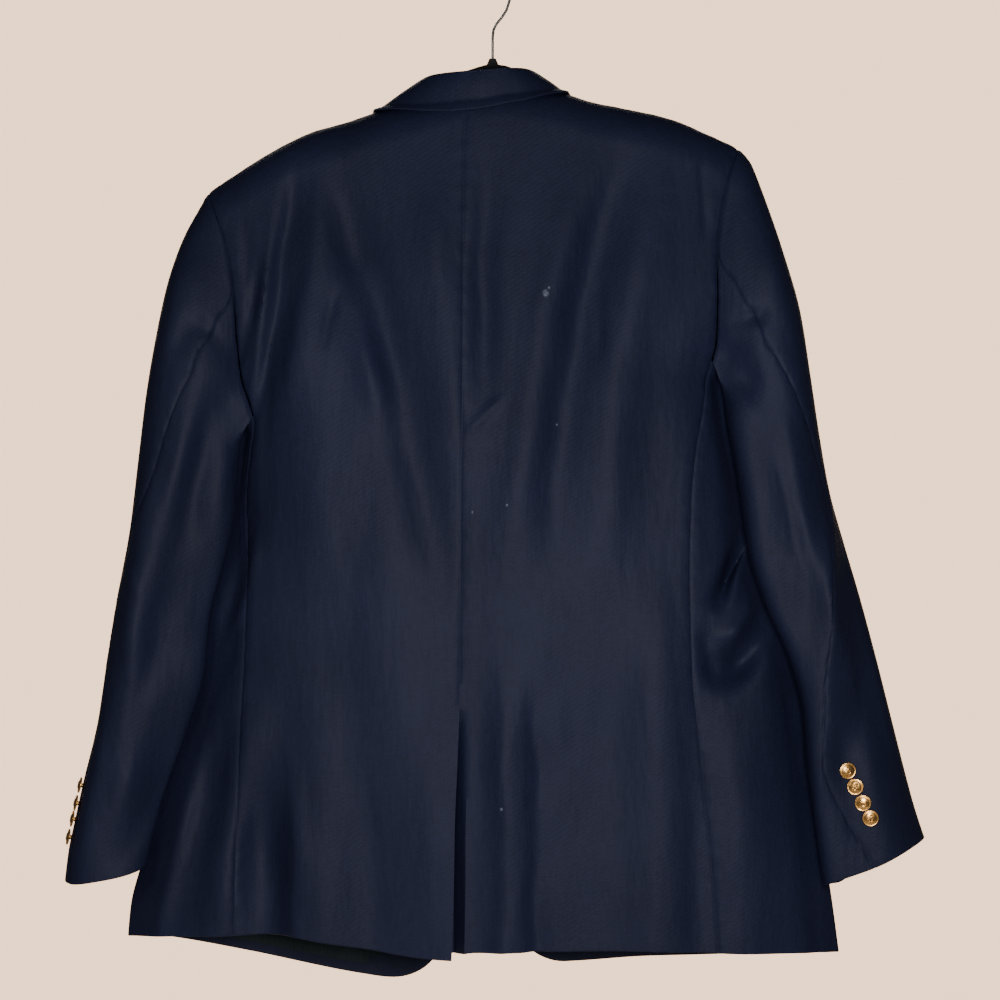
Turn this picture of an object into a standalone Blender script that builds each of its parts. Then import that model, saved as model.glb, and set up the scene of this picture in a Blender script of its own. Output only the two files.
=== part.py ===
"""A navy blazer that hangs open on a slim hanger, modelled from its cut pieces.

Metres, +Z up. The origin is where the hook bears on what holds it up. The blazer's back faces -Y.
Left and right are the wearer's, so the left is at -X. Tables are in millimetres, and "down" is the
distance below the origin.
"""

from math import cos, pi, radians, sin

import bpy
import numpy as np

for item in list(bpy.data.objects):
    bpy.data.objects.remove(item, do_unlink=True)


def table(columns, *rows):
    """Named columns from rows of sizes."""
    return {name: np.array([row[i] for row in rows], float) for i, name in enumerate(columns.split())}


MM = 0.001
CLOTH = 2.0
# Gaps between neighbouring pieces: at seams, round the armhole, under the arm, and under what is
# laid on a panel. The sleeve's own seams are parted by an angle round its tube.
SEAM_GAP = 0.3
ARMHOLE_GAP = 0.8
ARMPIT_GAP = 1.5
LAY_GAP = 0.5
SLEEVE_SEAM_TURN = 0.013
SHOULDER_ROUND = 38.0
SECTION_POWER = 2.6
SLEEVE_POWER = 2.4
BUTTON_STAND = 0.3

NAVY = (0.012, 0.016, 0.035, 1.0)
LINING = (0.045, 0.065, 0.075, 1.0)
GOLD = (0.70, 0.48, 0.16, 1.0)
FLOCK = (0.006, 0.006, 0.007, 1.0)
STEEL = (0.62, 0.62, 0.60, 1.0)

# The shoulder line, across the neck too, as it slopes with the hanger.
SHOULDER = table(
    "x down",
    (-330, 246), (-262, 205), (-241, 191), (-224, 180), (-208, 170), (-186, 158), (-166, 149),
    (-131, 139), (-110, 131.6), (-80, 122.5), (-60, 117), (-40, 111), (-17, 105), (10, 104),
    (30, 106), (54, 111), (71, 115), (90, 121), (117, 126.5), (151, 133.5), (170, 139),
    (191, 148), (223, 162.5), (290, 195),
)
# The neck seam across the back.
NECK = table(
    "x down",
    (-80, 122.5), (-60, 121.5), (-40, 120.5), (-17, 120), (10, 116), (30, 113), (54, 111),
)
# Level sections of the body: its side edges, and how far the back and the fronts stand out.
BODY = table(
    "down left right back front",
    (100, -310, 275, 36.0, 32.0),
    (165, -310, 272, 41.0, 35.0),
    (205, -310, 266, 45.0, 37.0),
    (248, -302, 258, 50.0, 39.2),
    (294, -285, 250, 54.8, 41.2),
    (344, -262, 226, 58.4, 43.0),
    (360, -255, 217, 59.2, 43.5),
    (377, -247, 212, 59.9, 44.0),
    (400, -238, 214, 60.6, 44.6),
    (420, -233, 217, 61.1, 45.1),
    (446, -235, 222, 61.5, 45.6),
    (480, -237, 228, 61.8, 46.1),
    (516, -241, 234.5, 62.0, 46.5),
    (552, -250, 242.5, 62.2, 46.9),
    (596, -261, 259, 62.4, 47.3),
    (645, -266, 279, 62.7, 47.7),
    (694, -280, 288.5, 63.0, 48.0),
    (738, -295, 292.5, 63.3, 48.2),
    (775, -308, 298.5, 63.6, 48.4),
    (818, -320, 304.5, 63.9, 48.6),
    (860, -331, 311, 64.2, 48.8),
    (905, -335, 317, 64.5, 49.0),
)
# The broad form that the middle of the back and the fronts keep, whatever the side edges do.
BODY_MIDDLE = table(
    "down left right",
    (100, -312, 276),
    (300, -288, 252),
    (500, -268, 244),
    (700, -288, 284),
    (905, -335, 317),
)
# Beside each sleeve the body and the sleeve lean over one another: the sleeve lies over the body
# behind and under it in front, from the armpit down.
LEAN_START = {"left": 400, "right": 352, "over": 30}
LEAN = table("down shift depth reach", (400, 4, 5, 24), (470, 4.5, 6, 26), (905, 4.5, 6, 26))
# Seam lines down the back: the centre seam, and each armhole with the side seam below it.
CENTRE_SEAM = table(
    "down x",
    (105, -24), (131, -24), (165, -26), (303, -26.6), (395, -27), (487, -28.5), (625, -29),
    (666, -29.5), (725, -31.5), (781, -34), (836, -35), (905, -37),
)
BACK_EDGE_LEFT = table(
    "down x",
    (205, -261), (213, -258), (248, -245), (294, -236), (344, -232), (377, -228.5), (410, -219),
    (440, -225), (489, -231.4), (523, -230.2), (594, -225.7), (642, -226.6), (689, -228.8),
    (784, -231.5), (890, -233.5),
)
BACK_EDGE_RIGHT = table(
    "down x",
    (163, 226), (194, 215.5), (224, 209), (247, 205.5), (269, 204), (306, 204.4), (344, 203.5),
    (360, 200), (402, 192.6), (449, 184), (489, 180.4), (552, 178.7), (639, 180.4), (704, 186.6),
    (766, 192.6), (828, 199), (901, 204),
)
FRONT_EDGE_LEFT = table(
    "down x",
    (205, -261), (240, -243), (290, -225), (340, -215), (380, -212), (406, -215), (460, -222),
    (520, -226), (600, -242), (700, -262), (800, -286), (895, -303),
)
FRONT_EDGE_RIGHT = table(
    "down x",
    (163, 226), (200, 208), (250, 195), (300, 190), (340, 190), (364, 195), (420, 202), (480, 208),
    (560, 220), (650, 250), (740, 268), (820, 280), (905, 291),
)
# The fronts' edges: neck and roll line to the first button, then straight down to the hem.
FRONT_OPENING_LEFT = table(
    "down x",
    (122, -80), (150, -79), (180, -76), (250, -71), (330, -65), (420, -57), (500, -51), (650, -48),
    (935, -46),
)
FRONT_OPENING_RIGHT = table(
    "down x",
    (111, 54), (140, 53), (168, 50), (240, 44), (320, 38), (400, 31), (480, 26), (640, 22), (920, 20),
)
# The lower edge all round.
HEM_BACK_LEFT = table(
    "x down",
    (-335, 887), (-317, 888), (-277, 884), (-223, 881), (-186, 880), (-152, 885), (-108, 892),
    (-85, 896), (-58, 899), (-37, 900.5),
)
HEM_BACK_RIGHT = table(
    "x down",
    (-76, 892), (-37, 893), (38, 894), (135, 893), (200, 896), (301, 903), (317, 904),
)
HEM_FRONT_LEFT = table(
    "x down",
    (-335, 887), (-303, 892), (-229, 907), (-123, 929), (-95, 932.5), (-46, 933),
)
HEM_FRONT_RIGHT = table(
    "x down",
    (20, 918), (59, 918), (82, 917), (138, 913), (194, 911), (291, 906), (317, 904),
)
ARMHOLE_FLOOR_LEFT = table("share down", (0, 410), (0.5, 420), (1, 406))
ARMHOLE_FLOOR_RIGHT = table("share down", (0, 360), (0.5, 372), (1, 364))
CORNER_RADIUS = 48.0
ROWS_ABOVE = 10
ROWS_BELOW = 14
BACK_COLUMNS = 17
FRONT_COLUMNS = 14
VENT_TOP = 668.0
VENT_UNDERLAP = 36.0
VENT_STEP = CLOTH + LAY_GAP + 0.3
VENT_TAPER = 34.0

# Sleeve rings: the outer and inner points, the depth to the back and the front, and where the
# elbow seam lies between the inner point, -1, and the outer point, 1.
SLEEVE_LEFT = table(
    "outer_x outer_down inner_x inner_down back front seam",
    (-262, 205, -233.4, 420.5, 37, 30, 0.57),
    (-271, 221, -236, 430, 43, 34, 0.40),
    (-284, 246, -238, 442, 48, 38, 0.11),
    (-298, 287, -239.5, 456, 51, 40, 0.06),
    (-309, 337, -240.5, 472, 52, 41, 0.21),
    (-318, 390, -241.5, 490, 52, 42, 0.38),
    (-325, 448, -245, 516, 52, 42, 0.56),
    (-334, 522, -254, 552, 51, 42, 0.92),
    (-345, 579, -265, 596, 50, 42, 0.98),
    (-354, 634, -270, 645, 49, 42, 0.98),
    (-362.5, 692, -284, 694, 48, 41, 0.97),
    (-374, 740, -299, 738, 47, 40, 0.93),
    (-383, 779, -312, 775, 46, 39, 0.88),
    (-389, 806, -319, 798, 45, 38, 0.86),
    (-392.5, 833, -323.5, 818, 44, 37, 0.84),
)
SLEEVE_RIGHT = table(
    "outer_x outer_down inner_x inner_down back front seam",
    (226, 163, 213.5, 372.5, 37, 30, 0.50),
    (236, 174, 216, 384, 43, 34, 0.26),
    (252, 214, 218, 398, 48, 38, 0.03),
    (268, 263, 220, 412, 51, 40, 0.01),
    (282, 312, 222.5, 428, 52, 41, 0.18),
    (292, 372, 226, 446, 52, 42, 0.48),
    (301, 428, 230, 470, 52, 42, 0.72),
    (311, 480, 236, 505, 52, 42, 0.82),
    (325, 528, 243, 540, 51, 42, 0.57),
    (340, 579, 258, 584, 50, 42, 0.20),
    (354, 632, 279, 632, 49, 42, -0.29),
    (366, 680, 291, 678, 48, 41, -0.62),
    (378, 727, 295.5, 728, 47, 40, -0.72),
    (389, 768, 302, 776, 46, 39, -0.50),
    (396, 790, 306, 806, 45, 38, -0.34),
    (399, 799, 311, 840, 44, 37, -0.20),
)
FRONT_SEAM_ANGLE = radians(128)
# Each sleeve's section: the power of its inner back (higher is flatter), how far its outer edge lies
# towards the front, how far that thins its front, and how much lower the back of its cuff hangs.
SLEEVE_FORM_LEFT = {"inner_power": 2.4, "tilt": 0.0, "thinned": 0.0, "cuff_dip": 7.0}
SLEEVE_FORM_RIGHT = {"inner_power": 5.0, "tilt": 14.0, "thinned": 0.2, "cuff_dip": -3.0}

# Folds: start, middle and end of the line, half width, and height (troughs are negative).
BACK_FOLDS = table(
    "x1 down1 x2 down2 x3 down3 width height",
    (-175, 172, -190, 314, -221, 416, 8, 5.5),
    (-165, 184, -180, 300, -209, 404, 10, -7.0),
    (-200, 236, -206, 325, -224, 400, 7, 2.5),
    (-158, 170, -82, 325, -35, 560, 17, -7.5),
    (-121, 280, -112, 345, -98, 410, 11, 3.5),
    (135, 155, 58, 330, 56, 528, 15, -8.0),
    (158, 180, 100, 330, 96, 540, 22, 3.5),
    (3, 190, -2, 320, 1, 400, 14, -4.0),
    (-197, 770, -196, 830, -198, 890, 13, -6.0),
    (-160, 690, -158, 800, -154, 890, 22, 4.0),
    (11, 690, 14, 800, 12, 892, 13, -4.5),
    (90, 620, 84, 760, 80, 890, 34, 4.5),
    (150, 560, 158, 720, 160, 895, 26, -4.5),
    (212, 505, 222, 540, 236, 590, 14, -9.0),
    (232, 600, 246, 660, 262, 740, 15, -6.0),
    (-262, 640, -280, 720, -300, 860, 14, 5.0),
    (-246, 690, -252, 780, -262, 880, 14, -4.0),
)
FRONT_FOLDS = table(
    "x1 down1 x2 down2 x3 down3 width height",
    (-128, 175, -120, 300, -104, 420, 26, -3.0),
    (-106, 520, -120, 680, -112, 900, 34, -5.0),
    (-196, 620, -200, 760, -214, 890, 32, 3.5),
    (112, 160, 106, 280, 92, 400, 26, -3.0),
    (92, 520, 98, 700, 104, 900, 34, -5.0),
    (176, 560, 186, 720, 200, 890, 32, 3.5),
)
SLEEVE_FOLDS = table(
    "x1 down1 x2 down2 x3 down3 width height",
    (-250, 330, -262, 400, -300, 470, 12, 4.0),
    (-262, 330, -280, 420, -306, 500, 12, -4.0),
    (-300, 560, -318, 640, -326, 720, 14, -5.0),
    (-290, 720, -318, 770, -350, 800, 12, -4.0),
    (224, 352, 232, 366, 240, 400, 10, -4.0),
    (300, 468, 309, 560, 300, 740, 13, 8.0),
    (334, 560, 345, 650, 352, 720, 14, -4.0),
)

# The collar, from the left front round the back to the right front: its roll line, and its outer
# edge as x with the drop below the shoulder line, which is negative on the fronts.
COLLAR = table(
    "station roll_x roll_y roll_down edge_x edge_drop",
    (-4.0, -75, 39, 178, -119, -50),
    (-3.0, -72, 24, 142, -117, -28),
    (-2.0, -67, 8, 110, -113, -4),
    (-1.5, -64, -3, 102, -109, 1),
    (-1.0, -56, -18, 100, -92, 7),
    (-0.5, -38, -31, 99, -60, 18.5),
    (0.0, -15, -36.5, 98, -17, 28.5),
    (0.5, 10, -33, 95.5, 25, 21),
    (1.0, 29, -20, 94, 50, 10),
    (1.5, 38, -4, 95, 68, 1.5),
    (2.0, 41, 8, 102, 76, -4),
    (3.0, 46, 24, 132, 82, -28),
    (4.0, 49, 39, 166, 88, -52),
)
# Across the fall: from the roll line, 0, to the outer edge, 1, how far it crowns outwards and rises.
COLLAR_FALL = table(
    "share crown rise",
    (0.0, -2.2, 0.0), (0.0, 0.0, 1.6), (0.08, 2.2, 1.0), (0.3, 3.6, 0.0), (0.62, 2.2, 0.0), (1.0, 0.0, 0.0),
)
STAND_FOOT = table("station x", (-1.5, -79), (0, -15), (1.5, 53))
STAND = {"beside": 8.5, "drop": 12.0, "below_roll": 1.2}
# Lapels: the outer edge beside each height of the roll line.
LAPEL_LEFT = table("down x", (182, -106), (206, -147), (250, -142), (330, -124), (420, -92), (497, -54))
LAPEL_RIGHT = table("down x", (170, 80), (194, 121), (240, 116), (320, 97), (400, 65), (477, 29))

LINING_STRIP = {"inner_x": -116, "outer_x": -262, "top": 862, "above_hem": 12}
POCKET = {"down": 655, "height": 52, "slope": 6, "thick": 1.8, "left": (-236, -96), "right": (74, 222)}
WELT = {"down": 318, "height": 22, "slope": 9, "thick": 1.4, "across": (-206, -134)}

BUTTON_SIDES = 12
CUFF_BUTTON = 15.0
FRONT_BUTTON = 20.5
BUTTON_PROFILE = table(
    "share height",
    (0.26, 0.0), (0.26, 2.0), (0.90, 2.2), (1.0, 2.9), (0.97, 3.6), (0.84, 3.7), (0.52, 4.5),
)
CUFF_ROW_RIGHT = {"first": (324, 732), "last": (342, 775)}
CUFF_ROW_LEFT = {"first": 747, "last": 793, "angle": radians(22)}
FRONT_BUTTONS = {"inset": 19, "down": (497, 601)}

# The hanger's upper edge over its neck, with the knob that holds the wire; inside the shoulders it
# follows them.
HANGER_NECK = table(
    "x down",
    (-96, 133), (-80, 127.5), (-64, 114), (-50, 103.5), (-32, 94.8), (-14, 89), (-5.3, 86.6), (-3, 81),
    (3, 81), (5.3, 86.6), (12, 87.6), (25, 92), (36, 106), (54, 117.5), (80, 122.5),
)
HANGER = {
    "left": -205, "right": 203, "neck_left": -100, "neck_right": 96, "tip_length": 7, "tip_drop": 9,
    "below_shoulder": CLOTH + 1.1, "height": 17.0, "neck_arch": 9.0, "thick": 5.0,
}
WIRE = 2.7
HOOK_RADIUS = 18.4
# The hook's wire, from the knob up to where its open ring begins.
HOOK_STEM = table(
    "x down",
    (0, 81 - SEAM_GAP), (0, 74), (0, 66), (0.1, 60), (0.8, 54.5), (3.6, 48.8), (8.2, 43.2), (12.6, 36.6),
)
HOOK_TURN = {"start": radians(-30), "end": radians(196)}


def through(knots, values, at):
    """A smooth curve through a table's rows that never overshoots them, straight beyond its ends."""
    at = np.asarray(at, float)
    gaps = np.diff(knots)
    slopes = np.diff(values) / gaps
    turning = slopes[:-1] * slopes[1:] <= 0
    total = np.where(turning, 1, slopes[:-1] + slopes[1:])
    inner = np.where(turning, 0, 2 * slopes[:-1] * slopes[1:] / total)
    tangents = np.concatenate([slopes[:1], inner, slopes[-1:]])
    i = np.clip(np.searchsorted(knots, at) - 1, 0, len(gaps) - 1)
    t = np.clip((at - knots[i]) / gaps[i], 0, 1)
    curve = (
        values[i] * (1 + 2 * t) * (1 - t) ** 2
        + values[i + 1] * t * t * (3 - 2 * t)
        + gaps[i] * tangents[i] * t * (1 - t) ** 2
        - gaps[i] * tangents[i + 1] * t * t * (1 - t)
    )
    below = np.minimum(at - knots[0], 0) * tangents[0]
    above = np.maximum(at - knots[-1], 0) * tangents[-1]
    return curve + below + above


def read(rows, column, at):
    """A column of a table at places along its first column."""
    return through(next(iter(rows.values())), rows[column], at)


def crest(x):
    return read(SHOULDER, "down", x)


def drop_of(level):
    """How far below the shoulder line a level lies: round over the shoulder, then straight down."""
    size = np.abs(level)
    bend = SHOULDER_ROUND * (1 - np.cos(np.minimum(size, 1) * pi / 2))
    return bend + np.maximum(size - 1, 0) * SHOULDER_ROUND * pi / 2


def level_of(drop):
    drop = np.maximum(drop, 0)
    bend = np.arccos(1 - np.minimum(drop, SHOULDER_ROUND) / SHOULDER_ROUND) * 2 / pi
    return bend + np.maximum(drop - SHOULDER_ROUND, 0) / (SHOULDER_ROUND * pi / 2)


def softened(value):
    """0 to 1 with level ends."""
    value = np.clip(value, 0, 1)
    return value * value * (3 - 2 * value)


def bend(first, middle, last, share):
    """A smooth bend from the first value to the last, drawn towards the middle one."""
    return first * (1 - share) ** 2 + middle * 2 * share * (1 - share) + last * share**2


def fold_height(folds, x, down):
    """The sum of soft troughs and ridges at a place, each fading towards its two ends."""
    total = np.zeros(np.broadcast(x, down).shape)
    steps = np.linspace(0, 1, 17)
    for i in range(len(folds["width"])):
        line_x = bend(folds["x1"][i], folds["x2"][i], folds["x3"][i], steps)
        line_down = bend(folds["down1"][i], folds["down2"][i], folds["down3"][i], steps)
        nearest = np.full(total.shape, np.inf)
        share = np.zeros(total.shape)
        for j in range(len(steps) - 1):
            run_x = line_x[j + 1] - line_x[j]
            run_down = line_down[j + 1] - line_down[j]
            length = np.hypot(run_x, run_down)
            along = ((x - line_x[j]) * run_x + (down - line_down[j]) * run_down) / length**2
            along = np.clip(along, 0, 1)
            away = np.hypot(x - line_x[j] - along * run_x, down - line_down[j] - along * run_down)
            closer = away < nearest
            nearest = np.where(closer, away, nearest)
            share = np.where(closer, steps[j] + along * (steps[1] - steps[0]), share)
        fade = softened(share * 5) * softened((1 - share) * 5)
        total = total + folds["height"][i] * np.exp(-((nearest / folds["width"][i]) ** 2)) * fade
    return total


def section_of(rows, down):
    """The middle and the half width of a level section."""
    left = read(rows, "left", down)
    right = read(rows, "right", down)
    return (left + right) / 2, (right - left) / 2


def body_depth(x, down, bulge, side):
    """How far the cloth stands out at a place: side is -1 on the back and 1 on the fronts."""
    centre, half = section_of(BODY_MIDDLE, down)
    across = np.minimum(np.abs(x - centre) / half, 1)
    broad = np.sqrt(1 - across**SECTION_POWER)
    bulge = bulge + (broad - bulge) * softened((bulge - 0.5) / 0.35)
    if side < 0:
        flat = read(BODY, "back", down)
        folds = fold_height(BACK_FOLDS, x, down)
    else:
        flat = read(BODY, "front", down)
        folds = fold_height(FRONT_FOLDS, x, down)
    return flat * bulge + folds * np.minimum(1, bulge * 1.6)


def leaned(points):
    """Moves points beside the sleeves: behind towards the body, in front away from it."""
    x, y, down = points[..., 0], points[..., 1], -points[..., 2]
    moved = points.copy()
    for hand, side in ((-1, "left"), (1, "right")):
        away = np.abs(x - read(BODY, side, down) - 2 * hand)
        below = softened((down - LEAN_START[side]) / LEAN_START["over"])
        weight = softened(1 - away / read(LEAN, "reach", down)) * below
        share = np.tanh(y / read(LEAN, "depth", down))
        moved[..., 0] += hand * read(LEAN, "shift", down) * share * weight
    return moved


def body_upright(x, level, side):
    """The outer surface over x and a level below the shoulder line, before it leans."""
    down = crest(x) + drop_of(level)
    centre, half = section_of(BODY, down)
    across = np.minimum(np.abs(x - centre) / half, 1)
    bulge = np.sqrt(1 - across**SECTION_POWER)
    over = np.sin(np.clip(level, -1, 1) * pi / 2)
    y = side * body_depth(x, down, bulge, side) * over
    return np.stack([x, y, -down], axis=-1)


def body_point(x, level, side):
    return leaned(body_upright(x, level, side))


def around_upright(angle, down):
    """The same surface by the angle round a level section: right edge 0, back 90, left edge 180."""
    centre, half = section_of(BODY, down)
    across = np.abs(np.cos(angle)) ** (2 / SECTION_POWER)
    x = centre + half * np.sign(np.cos(angle)) * across
    bulge = np.abs(np.sin(angle))
    back = body_depth(x, down, bulge, -1)
    front = body_depth(x, down, bulge, 1)
    y = np.where(np.sin(angle) > 0, -back, front)
    return np.stack([x, y, -down], axis=-1)


def angle_of(x, down):
    """The angle round the back half of a section that lies at x."""
    centre, half = section_of(BODY, down)
    share = np.clip((x - centre) / half, -1, 1)
    return np.arccos(np.sign(share) * np.abs(share) ** (SECTION_POWER / 2))


def unit(vectors):
    return vectors / np.linalg.norm(vectors, axis=-1, keepdims=True)


def normals_of(surface, first, second, step_first, step_second):
    """Unit normals of a surface of two variables."""
    along = surface(first + step_first, second) - surface(first - step_first, second)
    across = surface(first, second + step_second) - surface(first, second - step_second)
    return unit(np.cross(along, across))


def body_normals(x, level, side):
    normals = normals_of(lambda a, b: body_point(a, b, side), x, level, 0.4, 0.01)
    outward = np.sign(np.sum(normals * np.stack([x * 0, x * 0 + side, x * 0 + 0.3], axis=-1), axis=-1))
    return normals * outward[..., None]


def material(name, colour, roughness, metallic=0.0):
    made = bpy.data.materials.new(name)
    made.use_nodes = True
    shader = made.node_tree.nodes["Principled BSDF"]
    shader.inputs["Base Color"].default_value = colour
    shader.inputs["Roughness"].default_value = roughness
    shader.inputs["Metallic"].default_value = metallic
    made.diffuse_color = colour
    return made


def add_object(name, points, faces, colour, roughness=0.8, metallic=0.0):
    """A mesh object from points in millimetres."""
    mesh = bpy.data.meshes.new(name)
    mesh.from_pydata([tuple(point) for point in np.asarray(points) * MM], [], faces)
    mesh.validate()
    mesh.shade_smooth()
    mesh.set_sharp_from_angle(angle=radians(40))
    mesh.materials.append(material(name, colour, roughness, metallic))
    made = bpy.data.objects.new(name, mesh)
    bpy.context.scene.collection.objects.link(made)
    return made


def closed_wall(name, outside, inside, colour=NAVY):
    """A wall between two grids of points, closed by a rim all round."""
    rows, columns = outside.shape[:2]
    count = rows * columns
    points = np.concatenate([outside.reshape(-1, 3), inside.reshape(-1, 3)])
    faces = []
    for i in range(rows - 1):
        for j in range(columns - 1):
            quad = [i * columns + j, i * columns + j + 1, (i + 1) * columns + j + 1, (i + 1) * columns + j]
            faces.append(tuple(quad))
            faces.append(tuple(corner + count for corner in reversed(quad)))
    rim = [j for j in range(columns)]
    rim += [i * columns + columns - 1 for i in range(1, rows)]
    rim += [(rows - 1) * columns + j for j in range(columns - 2, -1, -1)]
    rim += [i * columns for i in range(rows - 2, 0, -1)]
    for here, following in zip(rim, rim[1:] + rim[:1]):
        faces.append((following, here, here + count, following + count))
    row, column = rows // 2, columns // 2
    step_down = outside[row + 1, column] - outside[row - 1, column]
    step_over = outside[row, column] - outside[row, column - 1]
    facing = np.dot(np.cross(step_over, step_down), outside[row, column] - inside[row, column])
    if facing < 0:
        faces = [tuple(reversed(face)) for face in faces]
    return add_object(name, points, faces, colour)


def level_along(line, level):
    """Where a seam line, given as x by depth, crosses a level below the shoulder line."""
    down = np.full(np.shape(level), 300.0)
    for _ in range(40):
        x = read(line, "x", down)
        down = crest(x) + drop_of(level)
    return x


def patch(top, bottom, near, far, across, along):
    """A grid blended between four edges; each edge gives x and level for shares from 0 to 1."""
    u = across[None, :, None]
    v = along[:, None, None]
    top_row = top(across)[None, :, :]
    bottom_row = bottom(across)[None, :, :]
    near_column = near(along)[:, None, :]
    far_column = far(along)[:, None, :]
    corners = (
        (1 - u) * (1 - v) * top_row[:, :1]
        + u * (1 - v) * top_row[:, -1:]
        + (1 - u) * v * bottom_row[:, :1]
        + u * v * bottom_row[:, -1:]
    )
    grid = (1 - v) * top_row + v * bottom_row + (1 - u) * near_column + u * far_column - corners
    return grid[..., 0], grid[..., 1]


def edge_line(line, start_level, end_level, shift):
    """A seam line as an edge for a patch, moved sideways by its half gap."""

    def edge(share):
        level = start_level + (end_level - start_level) * share
        return np.stack([level_along(line, level) + shift, level], axis=-1)

    return edge


def side_levels(outer, floor_down, end_level, share):
    """Levels down a side seam from the armhole's floor to the hem."""
    floor_level = level_of(floor_down - crest(read(outer, "x", floor_down)))
    return floor_level + (end_level - floor_level) * share


def hem_end(outer, hem):
    x = outer["x"][-1]
    return float(level_of(read(hem, "down", x) - crest(x)))


def panel_grid(side, hand, opening, outer, hem, floor_down, columns):
    """The x and level grid of a back or a front, from its centre edge to its armhole and side seam."""
    half_gap = SEAM_GAP / 2 * hand
    over = SEAM_GAP / 2 / (SHOULDER_ROUND * pi / 2)
    tip = outer["x"][0]
    neck_x = NECK["x"][0] if hand < 0 else NECK["x"][-1]
    start_x = level_along(CENTRE_SEAM, 0.6) if side < 0 else neck_x
    shoulder_share = (neck_x - start_x) / (tip - start_x)

    def top(share):
        x = start_x + half_gap * (side < 0) + (tip - half_gap - start_x) * share
        neck_level = level_of(read(NECK, "down", x) - crest(x)) * (side < 0)
        return np.stack([x, np.where((x - neck_x) * hand < -0.01, neck_level, 0) + over], axis=-1)

    def hem_level(x):
        down = read(hem, "down", x)
        if side > 0:
            from_edge = np.clip(np.abs(x - opening_foot) / CORNER_RADIUS, 0, 1)
            down = down - CORNER_RADIUS * (1 - np.sqrt(1 - (1 - from_edge) ** 2)) * 0.9
        return level_of(down - crest(x))

    opening_foot = opening["x"][-1]
    if side < 0:
        start = float(level_of(read(NECK, "down", start_x) - crest(start_x))) + over
    else:
        start = over
    near_end = float(hem_level(opening["x"][-1] + half_gap))
    far_end = hem_end(outer, hem)
    near = edge_line(opening, start, near_end, half_gap * (side < 0))
    below = side_levels(outer, floor_down, far_end, np.linspace(0, 1, ROWS_BELOW + 1))
    above = over + (below[0] - over) * np.linspace(0, 1, ROWS_ABOVE + 1)[:-1] ** 1.3
    levels = np.concatenate([above, below])
    along = (levels - over) / (far_end - over)
    far = edge_line(outer, over, far_end, -half_gap)

    def bottom(share):
        x = opening["x"][-1] + (outer["x"][-1] - opening["x"][-1]) * share
        return np.stack([x, hem_level(x)], axis=-1)

    if side < 0:
        neck_columns = 5
        across = np.concatenate([
            np.linspace(0, shoulder_share, neck_columns),
            np.linspace(shoulder_share, 1, columns - neck_columns + 1)[1:],
        ])
    else:
        across = np.linspace(0, 1, columns) ** 1.25
    return patch(top, bottom, near, far, across, along)


def make_panel(name, side, hand, opening, outer, hem, floor_down, columns):
    x, level = panel_grid(side, hand, opening, outer, hem, floor_down, columns)
    outside = body_point(x, level, side)
    normals = body_normals(x, level, side)
    closed_wall(name, outside, outside - normals * CLOTH)


def make_vented_back(name, columns):
    """The right back: below the vent's top it steps in and runs on under the left back."""
    floor_down = ARMHOLE_FLOOR_RIGHT["down"][0]
    x, level = panel_grid(-1, 1, CENTRE_SEAM, BACK_EDGE_RIGHT, HEM_BACK_RIGHT, floor_down, columns)
    down = crest(x) + drop_of(level)
    from_edge = VENT_TAPER * (1 - (1 - np.linspace(0, 1, columns)[None, :]) ** 3)
    open_here = softened((down[:, :1] - VENT_TOP + 1) / 2)
    x = x - VENT_UNDERLAP * np.exp(-((from_edge / 16) ** 2)) * open_here
    outside = body_point(x, level, -1)
    normals = body_normals(x, level, -1)
    down = crest(x) + drop_of(level)
    step_in = VENT_STEP * softened((down - VENT_TOP + 46) / 26) * softened((VENT_TAPER - x) / 46)
    outside = outside - normals * step_in[..., None]
    closed_wall(name, outside, outside - normals * CLOTH)


def side_surface(hand, back_seam, front_seam, floor, hem_back, hem_front):
    """A side panel before it leans: share from the back seam to the front seam, and share down."""
    ends = ((back_seam, floor["down"][0], hem_end(back_seam, hem_back)),
            (front_seam, floor["down"][-1], hem_end(front_seam, hem_front)))

    def seam_down(number, along):
        line, floor_down, end_level = ends[number]
        level = side_levels(line, floor_down, end_level, along)
        return crest(level_along(line, level)) + drop_of(level)

    def surface(share, along):
        share, along = np.broadcast_arrays(np.asarray(share, float), np.asarray(along, float))
        dip = read(floor, "down", share) - floor["down"][0] - (floor["down"][-1] - floor["down"][0]) * share
        down = seam_down(0, along) * (1 - share) + seam_down(1, along) * share
        down = down + dip * (1 - np.clip(along * 4, 0, 1)) ** 2 + ARMHOLE_GAP / 2 * (1 - along)
        back = angle_of(read(back_seam, "x", down) + SEAM_GAP / 2 * hand, down)
        front = angle_of(read(front_seam, "x", down) + SEAM_GAP / 2 * hand, down)
        turn = 2 * pi - front - back if hand < 0 else -front - back
        return around_upright(back + turn * share, down)

    return surface


def make_side(name, hand, back_seam, front_seam, floor, hem_back, hem_front, columns=9):
    upright = side_surface(hand, back_seam, front_seam, floor, hem_back, hem_front)
    share, along = np.meshgrid(np.linspace(0, 1, columns), np.linspace(0, 1, ROWS_BELOW + 1))
    outside = leaned(upright(share, along))
    normals = normals_of(lambda a, b: leaned(upright(a, b)), share, along, 0.002, 0.002) * -hand
    closed_wall(name, outside, outside - normals * CLOTH)
    return upright


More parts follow.
